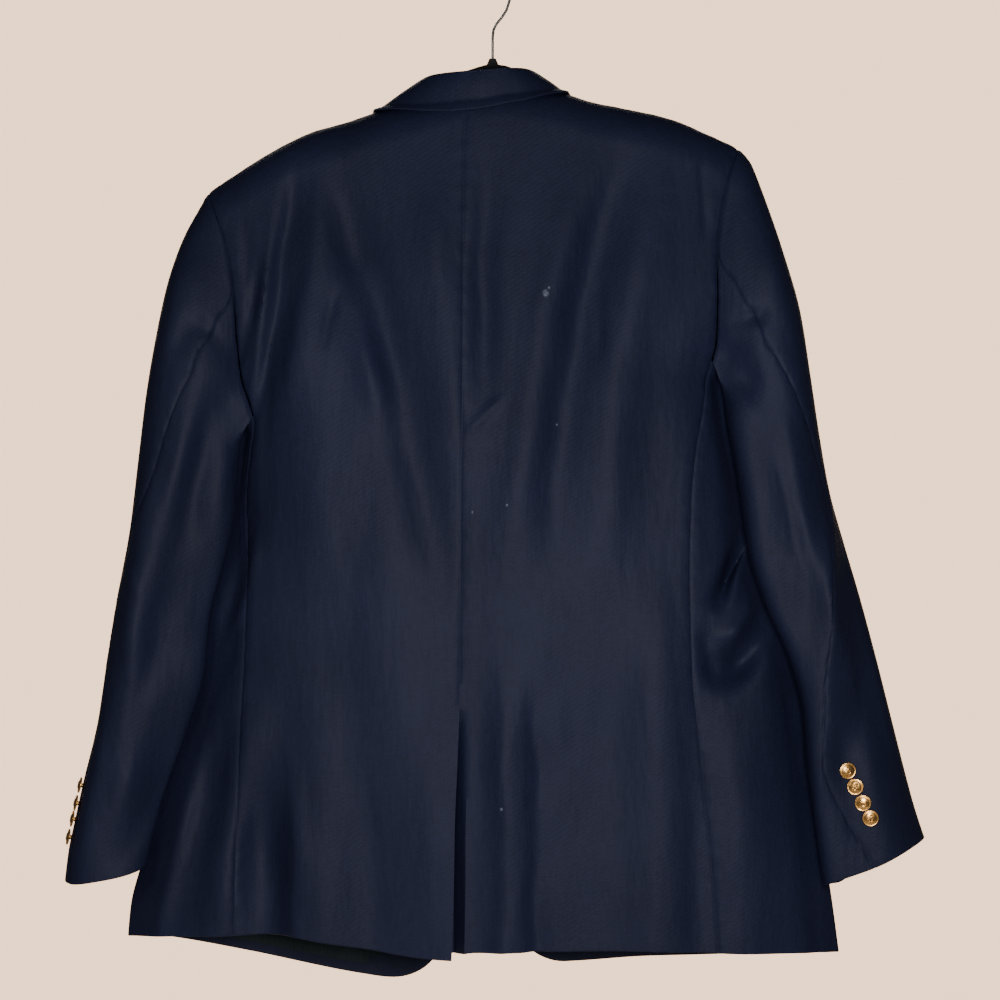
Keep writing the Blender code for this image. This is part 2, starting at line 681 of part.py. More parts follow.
def armhole_loop(hand, outer_back, outer_front, floor_surface, count=60):
    """The armhole as a closed line before it leans: the tip 0, the back, the floor 180, the front."""
    back_x_low = floor_surface(np.array(0.0), np.array(0.0))
    front_x_low = floor_surface(np.array(1.0), np.array(0.0))
    sides = []
    for side, line, low in ((-1, outer_back, back_x_low), (1, outer_front, front_x_low)):
        tip_x = line["x"][0]
        low_level = float(level_of(-low[2] - crest(low[0])))
        level = np.linspace(0, 1, count) * low_level
        x = level_along(line, level) + ARMHOLE_GAP * hand
        x[0] = tip_x + ARMHOLE_GAP * hand
        sides.append(body_upright(x, level, side))
    halves = []
    half_way = np.linspace(0, 0.5, 14)
    for down_line, share in zip(sides, (half_way, 1 - half_way)):
        outward = normals_of(floor_surface, share, share * 0, 0.002, 0.002)
        floor = floor_surface(share, share * 0) - outward * hand * ARMPIT_GAP
        line = np.concatenate([down_line[:-1], floor])
        length = np.concatenate([[0], np.cumsum(np.linalg.norm(np.diff(line, axis=0), axis=1))])
        halves.append((length / length[-1], line))

    def loop(angle):
        turn = np.mod(np.asarray(angle, float), 2 * pi)
        behind = turn <= pi
        share_round = np.where(behind, turn, 2 * pi - turn) / pi
        share_round = share_round + 0.12 * np.sin(pi * share_round)
        back, front = (
            np.stack([np.interp(share_round, lengths, line[:, k]) for k in range(3)], axis=-1)
            for lengths, line in halves
        )
        return np.where(behind[..., None], back, front)

    return loop


def sleeve_surface(rings, form, loop):
    """A sleeve by ring number and angle: outer point 0, back 90, inner point 180 degrees."""
    numbers = np.arange(len(rings["back"]), dtype=float)
    last = numbers[-1]

    def column(name, ring):
        return through(numbers, rings[name], ring)

    def plain(ring, angle):
        outer = np.stack([column("outer_x", ring), ring * 0, -column("outer_down", ring)], -1)
        inner = np.stack([column("inner_x", ring), ring * 0, -column("inner_down", ring)], -1)
        c = np.sign(np.cos(angle)) * np.abs(np.cos(angle)) ** (2 / SLEEVE_POWER)
        s = np.sign(np.sin(angle)) * np.abs(np.sin(angle)) ** (2 / SLEEVE_POWER)
        point = (outer + inner) / 2 + (outer - inner) / 2 * c[..., None]
        flatter = SLEEVE_POWER + (form["inner_power"] - SLEEVE_POWER) * softened((ring - 1.5) / 4)
        s = np.where((s > 0) & (c < 0), (1 - np.abs(c) ** flatter) ** (1 / flatter), s)
        outwards = softened(c) * softened((ring - 4) / 4)
        front = column("front", ring) * (1 - form["thinned"] * outwards)
        depth = np.where(s > 0, column("back", ring), front)
        folds = fold_height(SLEEVE_FOLDS, point[..., 0], -point[..., 2])
        point[..., 1] = -depth * s - folds * np.clip(s, 0, 1) * softened(ring / 2) + form["tilt"] * outwards
        point[..., 2] -= form["cuff_dip"] * s * softened((ring - last + 3) / 3)
        return point

    def surface(ring, angle):
        ring, angle = np.broadcast_arrays(np.asarray(ring, float), np.asarray(angle, float))
        start = plain(ring * 0, angle)
        fade = 1 - softened(ring / 3.0)
        return leaned(plain(ring, angle) + (loop(angle) - start) * fade[..., None])

    return surface


def seam_angle(rings, ring):
    share = through(np.arange(len(rings["seam"]), dtype=float), rings["seam"], ring)
    share = np.clip(share, -1, 1)
    return np.arccos(np.sign(share) * np.abs(share) ** (SLEEVE_POWER / 2))


def sleeve_normals(surface, ring, angle, hand):
    last = ring.max()
    ring = np.clip(ring, 0.02, last - 0.02)
    return normals_of(surface, ring, angle, 0.02, 0.01) * -hand


def make_sleeve(name, hand, rings, surface, rows=20, upper_columns=12, under_columns=13):
    ring = np.linspace(0, 1, rows)[:, None] ** 1.1 * (len(rings["back"]) - 1)
    elbow = seam_angle(rings, ring)
    fore = FRONT_SEAM_ANGLE
    spans = {
        "upper": (-fore, elbow, upper_columns),
        "under": (elbow, 2 * pi - fore, under_columns),
    }
    for part, (start, end, columns) in spans.items():
        share = np.linspace(0, 1, columns)[None, :]
        angle = (start + SLEEVE_SEAM_TURN) + (end - start - 2 * SLEEVE_SEAM_TURN) * share
        rings_here = ring + angle * 0
        outside = surface(rings_here, angle)
        normals = sleeve_normals(surface, rings_here, angle, hand)
        top_normals = normals[0].copy()
        upright = np.clip((np.cos(angle[0]) + 0.1) / 0.9, 0, 1)[:, None]
        shoulder_slope = unit(np.array([0.42 * hand, 0, 0.9]))
        normals[0] = unit(top_normals * (1 - upright) + shoulder_slope * upright)
        closed_wall(name + "_" + part, outside, outside - normals * CLOTH)


def clear_of_body(points, lift):
    """Moves points out until they lie this far above the body's surface."""
    x, y, z = points[..., 0], points[..., 1], points[..., 2]
    side = np.where(y < 0, -1, 1)
    base = -crest(x) - SHOULDER_ROUND
    deep_back = -body_point(x, np.full(x.shape, 1.0), -1)[..., 1]
    deep_front = body_point(x, np.full(x.shape, 1.0), 1)[..., 1]
    deep = np.where(side < 0, deep_back, deep_front) + lift
    high = SHOULDER_ROUND + lift
    above = np.maximum(z - base, 0)
    size = np.sqrt((y / deep) ** 2 + (above / high) ** 2)
    grow = np.where(size < 1, 1 / np.maximum(size, 1e-6), 1)
    moved = points.copy()
    moved[..., 1] = np.where(z > base, y * grow, side * np.maximum(np.abs(y), deep))
    moved[..., 2] = np.where(z > base, base + above * grow, z)
    return moved


def collar_edge(station):
    """The collar's outer edge on the body, lifted clear of it."""
    x = read(COLLAR, "edge_x", station)
    drop = read(COLLAR, "edge_drop", station)
    level = level_of(np.abs(drop)) * np.sign(drop)
    return body_point(x, level, -1)


def collar_roll(station):
    x = read(COLLAR, "roll_x", station)
    y = read(COLLAR, "roll_y", station)
    down = read(COLLAR, "roll_down", station)
    return np.stack([x, y, -down], axis=-1)


def wall_normals(outside):
    return unit(np.cross(np.gradient(outside, axis=1), np.gradient(outside, axis=0)))


def make_collar(columns=33):
    """The fall of the collar, from its roll line down to its outer edge on the shoulders."""
    station = np.linspace(-4, 4, columns)
    roll = collar_roll(station)
    edge = collar_edge(station)
    outward = edge - roll
    outward[:, 2] = 0
    outward = unit(outward)
    rows = []
    for share, crown, rise in zip(COLLAR_FALL["share"], COLLAR_FALL["crown"], COLLAR_FALL["rise"]):
        line = roll * (1 - share) + edge * share + outward * crown
        line[:, 2] += rise
        rows.append(clear_of_body(line, CLOTH + LAY_GAP + 1.0))
    outside = np.stack(rows)
    normals = wall_normals(outside)
    if np.mean(normals[len(rows) // 2, :, 2]) < 0:
        normals = -normals
    closed_wall("collar", outside, outside - normals * (CLOTH - 0.2))


def make_collar_stand(columns=33):
    """The stand inside the fall, from just below the roll line down to the neck seam."""
    station = np.linspace(-2.9, 2.9, columns)
    roll = collar_roll(station)
    behind = np.abs(station) < 1.6
    beside = roll[:, 0] + STAND["beside"] * np.sign(station)
    across = through(STAND_FOOT["station"], STAND_FOOT["x"], station)
    foot_x = np.where(np.abs(station) < 1.5, across, beside)
    foot_down = np.where(behind, read(NECK, "down", foot_x), -roll[:, 2] + STAND["drop"])
    on_back = body_point(foot_x, level_of(foot_down - crest(foot_x)), -1)[:, 1]
    foot_y = np.where(behind, -np.abs(on_back), roll[:, 1] + 4)
    foot = np.stack([foot_x, foot_y, -foot_down], axis=-1)
    outside = np.stack([roll * (1 - share) + foot * share for share in (0.12, 0.5, 0.86)])
    outside[0, :, 2] -= STAND["below_roll"]
    normals = wall_normals(outside)
    if np.mean(normals[1, :, 1] * np.sign(outside[1, :, 1])) < 0:
        normals = -normals
    inward = outside - normals * (CLOTH + 0.5)
    closed_wall("collar_stand", inward + normals * (CLOTH - 0.2), inward)


def plate_on_front(name, x, down, lift, thickness, colour=NAVY):
    """A flat piece that lies on a front, made from the front's points moved out."""
    level = level_of(down - crest(x))
    base = body_point(x, level, 1)
    normals = body_normals(x, level, 1)
    outside = base + normals * (lift + thickness)
    closed_wall(name, outside, base + normals * lift, colour)


def make_lapel(name, hand, opening, outline, break_down, rows=13, columns=6):
    top = outline["down"][0]
    down = np.linspace(0, 1, rows)[:, None] * (break_down - top) + top
    share = np.linspace(0, 1, columns)[None, :]
    roll = read(opening, "x", down) - hand * 0.6
    corner = outline["down"][1]
    outer = read(outline, "x", np.maximum(down, corner))
    x = roll + (outer - roll) * share
    slope = (corner - top) * softened((break_down - down) / (break_down - top))
    lapel_down = down + slope * share * np.clip((corner + 90 - down) / 90, 0, 1)
    plate_on_front(name, x, lapel_down, LAY_GAP + 0.2, CLOTH)


def make_strip_on_front(name, across, sizes, slope):
    """A flap or welt from one x to another, its slope the drop from the first end to the last."""
    share = np.linspace(0, 1, 9)[None, :]
    x = across[0] + (across[1] - across[0]) * share + np.zeros((4, 1))
    down = sizes["down"] + slope * (share - 0.5) + sizes["height"] * np.linspace(0, 1, 4)[:, None]
    plate_on_front(name, x, down, LAY_GAP, sizes["thick"])


def make_lining():
    """The lining inside the left front, where it shows under the back's hem."""
    share = np.linspace(0, 1, 12)[None, :]
    inner, outer = LINING_STRIP["inner_x"], LINING_STRIP["outer_x"]
    x = inner + (outer - inner) * share + np.zeros((4, 1))
    foot = read(HEM_FRONT_LEFT, "down", x) - LINING_STRIP["above_hem"]
    down = LINING_STRIP["top"] + (foot - LINING_STRIP["top"]) * np.linspace(0, 1, 4)[:, None]
    level = level_of(down - crest(x))
    base = body_point(x, level, 1)
    normals = body_normals(x, level, 1)
    under = CLOTH + LAY_GAP * 1.6
    closed_wall("lining_left", base - normals * under, base - normals * (under + 1.0), LINING)


def make_button(name, seat, normal, diameter):
    """A domed metal button on its shank, turned about the normal of the cloth."""
    axis = unit(np.asarray(normal))
    side = unit(np.cross(axis, [0.3, 0.2, 1.0]))
    over = np.cross(axis, side)
    size = diameter / CUFF_BUTTON
    start = np.asarray(seat) + axis * BUTTON_STAND
    points = [start]
    for share, height in zip(BUTTON_PROFILE["share"], BUTTON_PROFILE["height"]):
        for k in range(BUTTON_SIDES):
            turn = 2 * pi * k / BUTTON_SIDES
            radius = share * diameter / 2
            points.append(start + axis * height * size + radius * (side * cos(turn) + over * sin(turn)))
    points.append(start + axis * 4.9 * size)
    faces = []
    rings = len(BUTTON_PROFILE["share"])
    for k in range(BUTTON_SIDES):
        following = (k + 1) % BUTTON_SIDES
        faces.append((0, 1 + following, 1 + k))
        for ring in range(rings - 1):
            low = 1 + ring * BUTTON_SIDES
            high = low + BUTTON_SIDES
            faces.append((low + k, low + following, high + following, high + k))
        top = 1 + (rings - 1) * BUTTON_SIDES
        faces.append((top + k, top + following, len(points) - 1))
    add_object(name, points, faces, GOLD, 0.3, 1.0)


def ring_at(rings, x, down):
    """The ring and angle on a sleeve's back half that lie at x and this far down."""
    numbers = np.arange(len(rings["back"]), dtype=float)
    ring = np.linspace(8, numbers[-1], 400)
    outer = np.stack([through(numbers, rings[name], ring) for name in ("outer_x", "outer_down")], axis=-1)
    inner = np.stack([through(numbers, rings[name], ring) for name in ("inner_x", "inner_down")], axis=-1)
    half = (outer - inner) / 2
    offset = np.array([x, down]) - (outer + inner) / 2
    share = np.sum(offset * half, axis=-1) / np.sum(half * half, axis=-1)
    best = np.argmin(np.linalg.norm(offset - share[:, None] * half, axis=-1))
    across = np.clip(share[best], -1, 1)
    return ring[best], float(np.arccos(np.sign(across) * np.abs(across) ** (SLEEVE_POWER / 2)))


def make_cuff_buttons(name, surface, hand, places):
    for number, (ring, angle) in enumerate(places, start=1):
        ring = np.array(ring)
        angle = np.array(angle)
        seat = surface(ring, angle)
        normal = normals_of(surface, ring, angle, 0.3, 0.12) * -hand
        make_button(f"{name}_{number}", seat, normal, CUFF_BUTTON)


def make_hanger():
    """A slim bar that follows the shoulders inside the cloth, arched at its neck."""
    ends = (HANGER["neck_left"], HANGER["neck_right"])

    def under_shoulder(x):
        return crest(x) + HANGER["below_shoulder"]

    left_x = np.linspace(HANGER["left"], ends[0] - 4, 9)
    right_x = np.linspace(ends[1] - 4, HANGER["right"], 9)
    upper_x = np.concatenate([left_x, HANGER_NECK["x"], right_x])
    upper_down = np.concatenate([under_shoulder(left_x), HANGER_NECK["down"], under_shoulder(right_x)])
    lower_x = np.linspace(right_x[-1], left_x[0], 27)
    arch = HANGER["neck_arch"] * np.exp(-((lower_x / 30) ** 2))
    bridge = np.interp(lower_x, ends, under_shoulder(np.array(ends))) - arch
    arm = np.interp(lower_x, upper_x, upper_down)
    lower_down = np.where(np.abs(lower_x) > 95, arm, bridge) + HANGER["height"]
    tips_x = (left_x[0] - HANGER["tip_length"], right_x[-1] + HANGER["tip_length"])
    tips_down = (upper_down[0] + HANGER["tip_drop"], upper_down[-1] + HANGER["tip_drop"])
    x = np.concatenate([tips_x[:1], upper_x, tips_x[1:], lower_x])
    down = np.concatenate([tips_down[:1], upper_down, tips_down[1:], lower_down])
    count = len(x)
    half = np.full(count, HANGER["thick"] / 2)
    points = np.concatenate([np.stack([x, -half, -down], axis=-1), np.stack([x, half, -down], axis=-1)])
    faces = [tuple(reversed(range(count))), tuple(range(count, 2 * count))]
    for k in range(count):
        following = (k + 1) % count
        faces.append((k, following, following + count, k + count))
    add_object("hanger", points, faces, FLOCK, 0.95)


def make_hook():
    """The wire: up from the hanger, out to the right and over the top in an open ring."""
    turn = np.linspace(HOOK_TURN["start"], HOOK_TURN["end"], 26)
    ring_x = HOOK_RADIUS * np.cos(turn)
    ring_down = HOOK_RADIUS - WIRE / 2 - HOOK_RADIUS * np.sin(turn)
    route_x = np.concatenate([HOOK_STEM["x"], ring_x])
    route_down = np.concatenate([HOOK_STEM["down"], ring_down])
    curve = bpy.data.curves.new("hook", "CURVE")
    curve.dimensions = "3D"
    curve.bevel_depth = WIRE / 2 * MM
    curve.bevel_resolution = 2
    curve.use_fill_caps = True
    spline = curve.splines.new("POLY")
    spline.points.add(len(route_x) - 1)
    for point, x, down in zip(spline.points, route_x, route_down):
        point.co = (x * MM, 0, -down * MM, 1)
    curve.materials.append(material("hook", STEEL, 0.2, 1.0))
    made = bpy.data.objects.new("hook", curve)
    bpy.context.scene.collection.objects.link(made)


def make_body():
    left, right = ARMHOLE_FLOOR_LEFT, ARMHOLE_FLOOR_RIGHT
    panels = (
        ("back_left", -1, -1, CENTRE_SEAM, BACK_EDGE_LEFT, HEM_BACK_LEFT, left["down"][0]),
        ("front_left", 1, -1, FRONT_OPENING_LEFT, FRONT_EDGE_LEFT, HEM_FRONT_LEFT, left["down"][-1]),
        ("front_right", 1, 1, FRONT_OPENING_RIGHT, FRONT_EDGE_RIGHT, HEM_FRONT_RIGHT, right["down"][-1]),
    )
    for name, side, *edges in panels:
        make_panel(name, side, *edges, BACK_COLUMNS if side < 0 else FRONT_COLUMNS)
    make_vented_back("back_right", BACK_COLUMNS)
    left_edges = (BACK_EDGE_LEFT, FRONT_EDGE_LEFT, left, HEM_BACK_LEFT, HEM_FRONT_LEFT)
    right_edges = (BACK_EDGE_RIGHT, FRONT_EDGE_RIGHT, right, HEM_BACK_RIGHT, HEM_FRONT_RIGHT)
    return make_side("side_left", -1, *left_edges), make_side("side_right", 1, *right_edges)


def make_sleeves(left_floor, right_floor):
    loop = armhole_loop(-1, BACK_EDGE_LEFT, FRONT_EDGE_LEFT, left_floor)
    surface = sleeve_surface(SLEEVE_LEFT, SLEEVE_FORM_LEFT, loop)
    make_sleeve("sleeve_left", -1, SLEEVE_LEFT, surface)
    numbers = np.arange(len(SLEEVE_LEFT["back"]), dtype=float)
    downs = np.linspace(CUFF_ROW_LEFT["first"], CUFF_ROW_LEFT["last"], 4)
    rings = np.interp(downs, SLEEVE_LEFT["outer_down"], numbers)
    make_cuff_buttons("cuff_button_left", surface, -1, [(ring, CUFF_ROW_LEFT["angle"]) for ring in rings])

    loop = armhole_loop(1, BACK_EDGE_RIGHT, FRONT_EDGE_RIGHT, right_floor)
    surface = sleeve_surface(SLEEVE_RIGHT, SLEEVE_FORM_RIGHT, loop)
    make_sleeve("sleeve_right", 1, SLEEVE_RIGHT, surface)
    row = np.linspace(CUFF_ROW_RIGHT["first"], CUFF_ROW_RIGHT["last"], 4)
    make_cuff_buttons("cuff_button_right", surface, 1, [ring_at(SLEEVE_RIGHT, x, down) for x, down in row])


def make_front_trim():
    make_lapel("lapel_left", -1, FRONT_OPENING_LEFT, LAPEL_LEFT, 496)
    make_lapel("lapel_right", 1, FRONT_OPENING_RIGHT, LAPEL_RIGHT, 476)
    make_strip_on_front("pocket_flap_left", POCKET["left"], POCKET, POCKET["slope"])
    make_strip_on_front("pocket_flap_right", POCKET["right"], POCKET, -POCKET["slope"])
    make_strip_on_front("breast_welt", WELT["across"], WELT, WELT["slope"])
    for number, down in enumerate(FRONT_BUTTONS["down"], start=1):
        x = np.array(read(FRONT_OPENING_RIGHT, "x", down) + FRONT_BUTTONS["inset"])
        level = level_of(down - crest(x))
        seat = body_point(x, level, 1)
        make_button(f"front_button_{number}", seat, body_normals(x, level, 1), FRONT_BUTTON)


floors = make_body()
make_sleeves(*floors)
make_collar()
make_collar_stand()
make_front_trim()
make_lining()
make_hanger()
make_hook()
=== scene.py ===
from math import cos, pi, radians, sin

import bpy
import numpy as np
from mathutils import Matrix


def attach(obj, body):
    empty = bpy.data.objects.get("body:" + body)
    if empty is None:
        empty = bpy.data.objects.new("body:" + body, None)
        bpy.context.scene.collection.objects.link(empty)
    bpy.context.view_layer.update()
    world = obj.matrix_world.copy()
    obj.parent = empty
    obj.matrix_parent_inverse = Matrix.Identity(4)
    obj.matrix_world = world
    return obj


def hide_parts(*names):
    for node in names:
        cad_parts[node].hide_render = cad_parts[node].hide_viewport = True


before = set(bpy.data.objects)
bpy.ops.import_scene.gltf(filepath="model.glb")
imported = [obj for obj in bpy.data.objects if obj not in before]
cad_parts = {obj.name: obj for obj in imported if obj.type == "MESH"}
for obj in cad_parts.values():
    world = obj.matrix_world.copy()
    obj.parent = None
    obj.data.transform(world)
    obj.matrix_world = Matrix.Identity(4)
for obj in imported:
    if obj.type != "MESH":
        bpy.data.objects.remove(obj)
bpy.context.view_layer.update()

mm = 0.001


def table(columns, *rows):
    return {name: np.array([row[i] for row in rows], float) for i, name in enumerate(columns.split())}


def through(knots, values, at):
    # a smooth curve through the rows that never overshoots, straight beyond its ends
    at = np.asarray(at, float)
    gaps = np.diff(knots)
    slopes = np.diff(values) / gaps
    turning = slopes[:-1] * slopes[1:] <= 0
    total = np.where(turning, 1, slopes[:-1] + slopes[1:])
    inner = np.where(turning, 0, 2 * slopes[:-1] * slopes[1:] / total)
    tangents = np.concatenate([slopes[:1], inner, slopes[-1:]])
    i = np.clip(np.searchsorted(knots, at) - 1, 0, len(gaps) - 1)
    t = np.clip((at - knots[i]) / gaps[i], 0, 1)
    curve = values[i] * (1 + 2 * t) * (1 - t) ** 2 + values[i + 1] * t * t * (3 - 2 * t)
    curve = curve + gaps[i] * (tangents[i] * t * (1 - t) ** 2 - tangents[i + 1] * t * t * (1 - t))
    below = np.minimum(at - knots[0], 0) * tangents[0]
    above = np.maximum(at - knots[-1], 0) * tangents[-1]
    return curve + below + above


def read(rows, column, at):
    return through(next(iter(rows.values())), rows[column], at)


def softened(value):
    value = np.clip(value, 0, 1)
    return value * value * (3 - 2 * value)


def unit(vectors):
    return vectors / np.maximum(np.linalg.norm(vectors, axis=-1, keepdims=True), 1e-12)


# the camera is 2.6 m from the blazer, square to its back
camera = bpy.data.objects.new("camera", bpy.data.cameras.new("camera"))
camera.location = (0.0068, -2.600, -0.487)
camera.rotation_euler = (radians(90), 0, 0)
camera.data.lens = 101.7
camera.data.sensor_width = 36
camera.data.clip_end = 60
bpy.context.scene.collection.objects.link(camera)
bpy.context.scene.camera = camera
print("camera set")


# finishes, each from its own nodes in object coordinates
def startFinish(name, colour, roughness, metallic=0.0):
    finish = bpy.data.materials.new(name)
    finish.use_nodes = True
    shader = finish.node_tree.nodes["Principled BSDF"]
    shader.inputs["Base Color"].default_value = (*colour, 1)
    shader.inputs["Roughness"].default_value = roughness
    shader.inputs["Metallic"].default_value = metallic
    return finish, finish.node_tree, shader


def node(tree, kind, **values):
    made = tree.nodes.new(kind)
    for key, value in values.items():
        if key in made.inputs:
            made.inputs[key].default_value = value
        else:
            setattr(made, key, value)
    return made


def objectPlace(tree):
    return tree.nodes.new("ShaderNodeTexCoord").outputs["Object"]


def noiseAt(tree, place, scale, detail=4.0, roughness=0.55):
    noise = node(tree, "ShaderNodeTexNoise", Scale=scale, Detail=detail, Roughness=roughness)
    tree.links.new(place, noise.inputs["Vector"])
    return noise.outputs["Fac"]


def ramp(tree, factor, *stops):
    made = tree.nodes.new("ShaderNodeValToRGB")
    band = made.color_ramp
    while len(band.elements) < len(stops):
        band.elements.new(0.5)
    for element, (place, colour) in zip(band.elements, stops):
        element.position = place
        element.color = (*colour, 1)
    tree.links.new(factor, made.inputs["Fac"])
    return made.outputs["Color"]


def stretched(tree, place, scale, turn=(0, 0, 0)):
    mapping = node(tree, "ShaderNodeMapping")
    mapping.inputs["Scale"].default_value = scale
    mapping.inputs["Rotation"].default_value = turn
    tree.links.new(place, mapping.inputs["Vector"])
    return mapping.outputs["Vector"]


def maths(tree, operation, first, second=None):
    made = node(tree, "ShaderNodeMath", operation=operation)
    for number, value in enumerate((first, second)):
        if value is None:
            continue
        if isinstance(value, (int, float)):
            made.inputs[number].default_value = value
        else:
            tree.links.new(value, made.inputs[number])
    return made.outputs[0]


def plus(tree, first, second):
    return maths(tree, "ADD", first, second)


def times(tree, first, second):
    return maths(tree, "MULTIPLY", first, second)


def bumpOn(tree, target, height, distance, strength=1.0):
    # the target is a shader, or another bump that this one comes before
    bump = node(tree, "ShaderNodeBump", Distance=distance, Strength=strength)
    tree.links.new(height, bump.inputs["Height"])
    tree.links.new(bump.outputs["Normal"], target.inputs["Normal"])
    return bump


woolLook = {
    "dark": (0.0068, 0.0086, 0.0240),
    "light": (0.0122, 0.0152, 0.0420),
    "thread": 0.00062,  # in metres: a twill line comes every 2 pi times this
    "twillTurn": -57,
    "roughness": 0.60,
    "lint": (0.16, 0.18, 0.24),
}
# lint on the right back: x, down and size of each speck
lint = table(
    "x down size",
    (48, 301, 3.4), (-18, 498, 1.2), (13, 491.5, 1.3), (58, 419, 1.2), (8, 764, 1.6), (51, 296, 1.5),
)


def withLint(tree, place, colour):
    fluff = noiseAt(tree, place, 420.0, 3.0)
    flat = stretched(tree, place, (1, 0, 0.8))
    pale = None
    for x, down, size in zip(lint["x"], lint["down"], lint["size"]):
        away = node(tree, "ShaderNodeVectorMath", operation="DISTANCE")
        tree.links.new(flat, away.inputs[0])
        away.inputs[1].default_value = (x * mm, 0, -down * mm * 0.8)
        near = maths(tree, "SUBTRACT", 1.0, maths(tree, "DIVIDE", away.outputs["Value"], float(size) * mm))
        spot = times(tree, maths(tree, "MAXIMUM", near, 0.0), maths(tree, "POWER", fluff, 2.0))
        pale = spot if pale is None else maths(tree, "MAXIMUM", pale, spot)
    mix = node(tree, "ShaderNodeMix", data_type="RGBA")
    tree.links.new(maths(tree, "MINIMUM", times(tree, pale, 2.6), 0.6), mix.inputs["Factor"])
    tree.links.new(colour, mix.inputs["A"])
    mix.inputs["B"].default_value = (*woolLook["lint"], 1)
    return mix.outputs["Result"]


def makeWool(name, linted=False):
    finish, tree, shader = startFinish(name, woolLook["light"], woolLook["roughness"])
    place = objectPlace(tree)
    cloudy = noiseAt(tree, place, 9.0, 3.0)
    yarn = noiseAt(tree, stretched(tree, place, (900, 900, 90)), 1.0, 2.0)
    weft = noiseAt(tree, stretched(tree, place, (90, 900, 900)), 1.0, 2.0)
    weave = plus(tree, yarn, weft)
    mixed = plus(tree, times(tree, cloudy, 0.35), times(tree, weave, 0.32))
    colour = ramp(tree, mixed, (0.34, woolLook["dark"]), (0.66, woolLook["light"]))
    if linted:
        colour = withLint(tree, place, colour)
    tree.links.new(colour, shader.inputs["Base Color"])
    lines = 1 / (woolLook["thread"] * 20)
    twill = node(tree, "ShaderNodeTexWave", bands_direction="X", Scale=lines, Distortion=0.6, Detail=1.0)
    turned = stretched(tree, place, (1, 1, 1), (0, radians(woolLook["twillTurn"]), 0))
    tree.links.new(turned, twill.inputs["Vector"])
    twill.inputs["Detail Scale"].default_value = 2.0
    fine = bumpOn(tree, shader, plus(tree, times(tree, twill.outputs["Fac"], 0.5), weave), 0.00020, 0.45)
    bumpOn(tree, fine, noiseAt(tree, stretched(tree, place, (34, 34, 9)), 1.0, 3.0), 0.0022)
    shader.inputs["Specular IOR Level"].default_value = 0.13
    return finish


def makeSatin():
    finish, tree, shader = startFinish("satinLining", (0.010, 0.018, 0.023), 0.5)
    place = objectPlace(tree)
    threads = noiseAt(tree, stretched(tree, place, (1400, 1400, 60)), 1.0, 2.0)
    colour = ramp(tree, threads, (0.3, (0.0070, 0.0125, 0.0165)), (0.7, (0.0130, 0.0225, 0.0290)))
    tree.links.new(colour, shader.inputs["Base Color"])
    bumpOn(tree, shader, plus(tree, threads, noiseAt(tree, place, 60.0, 3.0)), 0.0003, 0.4)
    shader.inputs["Specular IOR Level"].default_value = 0.12
    return finish


def makeGold():
    finish, tree, shader = startFinish("goldPlate", (0.70, 0.38, 0.11), 0.26, 1.0)
    place = objectPlace(tree)
    tarnish = noiseAt(tree, place, 320.0, 5.0)
    colour = ramp(tree, tarnish, (0.35, (0.42, 0.20, 0.05)), (0.62, (0.78, 0.44, 0.15)))
    tree.links.new(colour, shader.inputs["Base Color"])
    worn = ramp(tree, tarnish, (0.3, (0.34, 0.34, 0.34)), (0.7, (0.18, 0.18, 0.18)))
    tree.links.new(worn, shader.inputs["Roughness"])
    bumpOn(tree, shader, noiseAt(tree, place, 1500.0, 2.0), 0.00006, 0.5)
    return finish


def makeFlock():
    finish, tree, shader = startFinish("blackFlock", (0.006, 0.006, 0.007), 0.95)
    place = objectPlace(tree)
    fibres = noiseAt(tree, place, 1800.0, 2.0)
    colour = ramp(tree, fibres, (0.3, (0.004, 0.004, 0.0045)), (0.75, (0.014, 0.014, 0.015)))
    tree.links.new(colour, shader.inputs["Base Color"])
    bumpOn(tree, shader, fibres, 0.0004, 0.8)
    shader.inputs["Sheen Weight"].default_value = 0.35
    return finish


def makeWire():
    finish, tree, shader = startFinish("polishedWire", (0.66, 0.66, 0.64), 0.16, 1.0)
    place = objectPlace(tree)
    drawn = noiseAt(tree, stretched(tree, place, (2500, 2500, 220)), 1.0, 3.0)
    worn = ramp(tree, drawn, (0.3, (0.12, 0.12, 0.12)), (0.7, (0.24, 0.24, 0.24)))
    tree.links.new(worn, shader.inputs["Roughness"])
    bumpOn(tree, shader, drawn, 0.00004, 0.4)
    return finish


def makeThread(name, colour):
    finish, tree, shader = startFinish(name, colour, 0.7)
    place = objectPlace(tree)
    twist = noiseAt(tree, place, 2600.0, 2.0)
    dim = tuple(value * 0.6 for value in colour)
    tree.links.new(ramp(tree, twist, (0.3, dim), (0.7, colour)), shader.inputs["Base Color"])
    bumpOn(tree, shader, twist, 0.0001, 0.6)
    return finish


wool = makeWool("navyTwill")
woolLinted = makeWool("navyTwillWithLint", linted=True)
satin = makeSatin()
gold = makeGold()
flock = makeFlock()
wire = makeWire()
navyThread = makeThread("navyThread", (0.020, 0.026, 0.052))
print("finishes made")


# the blazer's form: the shoulder line, across the neck too, as it slopes with the hanger
shoulderLine = table(
    "x down",
    (-330, 246), (-262, 205), (-241, 191), (-224, 180), (-208, 170), (-186, 158), (-166, 149),
    (-131, 139), (-110, 131.6), (-80, 122.5), (-60, 117), (-40, 111), (-17, 105), (10, 104),
    (30, 106), (54, 111), (71, 115), (90, 121), (117, 126.5), (151, 133.5), (170, 139),
    (191, 148), (223, 162.5), (290, 195),
)
neckSeam = table(
    "x down",
    (-80, 122.5), (-60, 121.5), (-40, 120.5), (-17, 120), (10, 116), (30, 113), (54, 111),
)
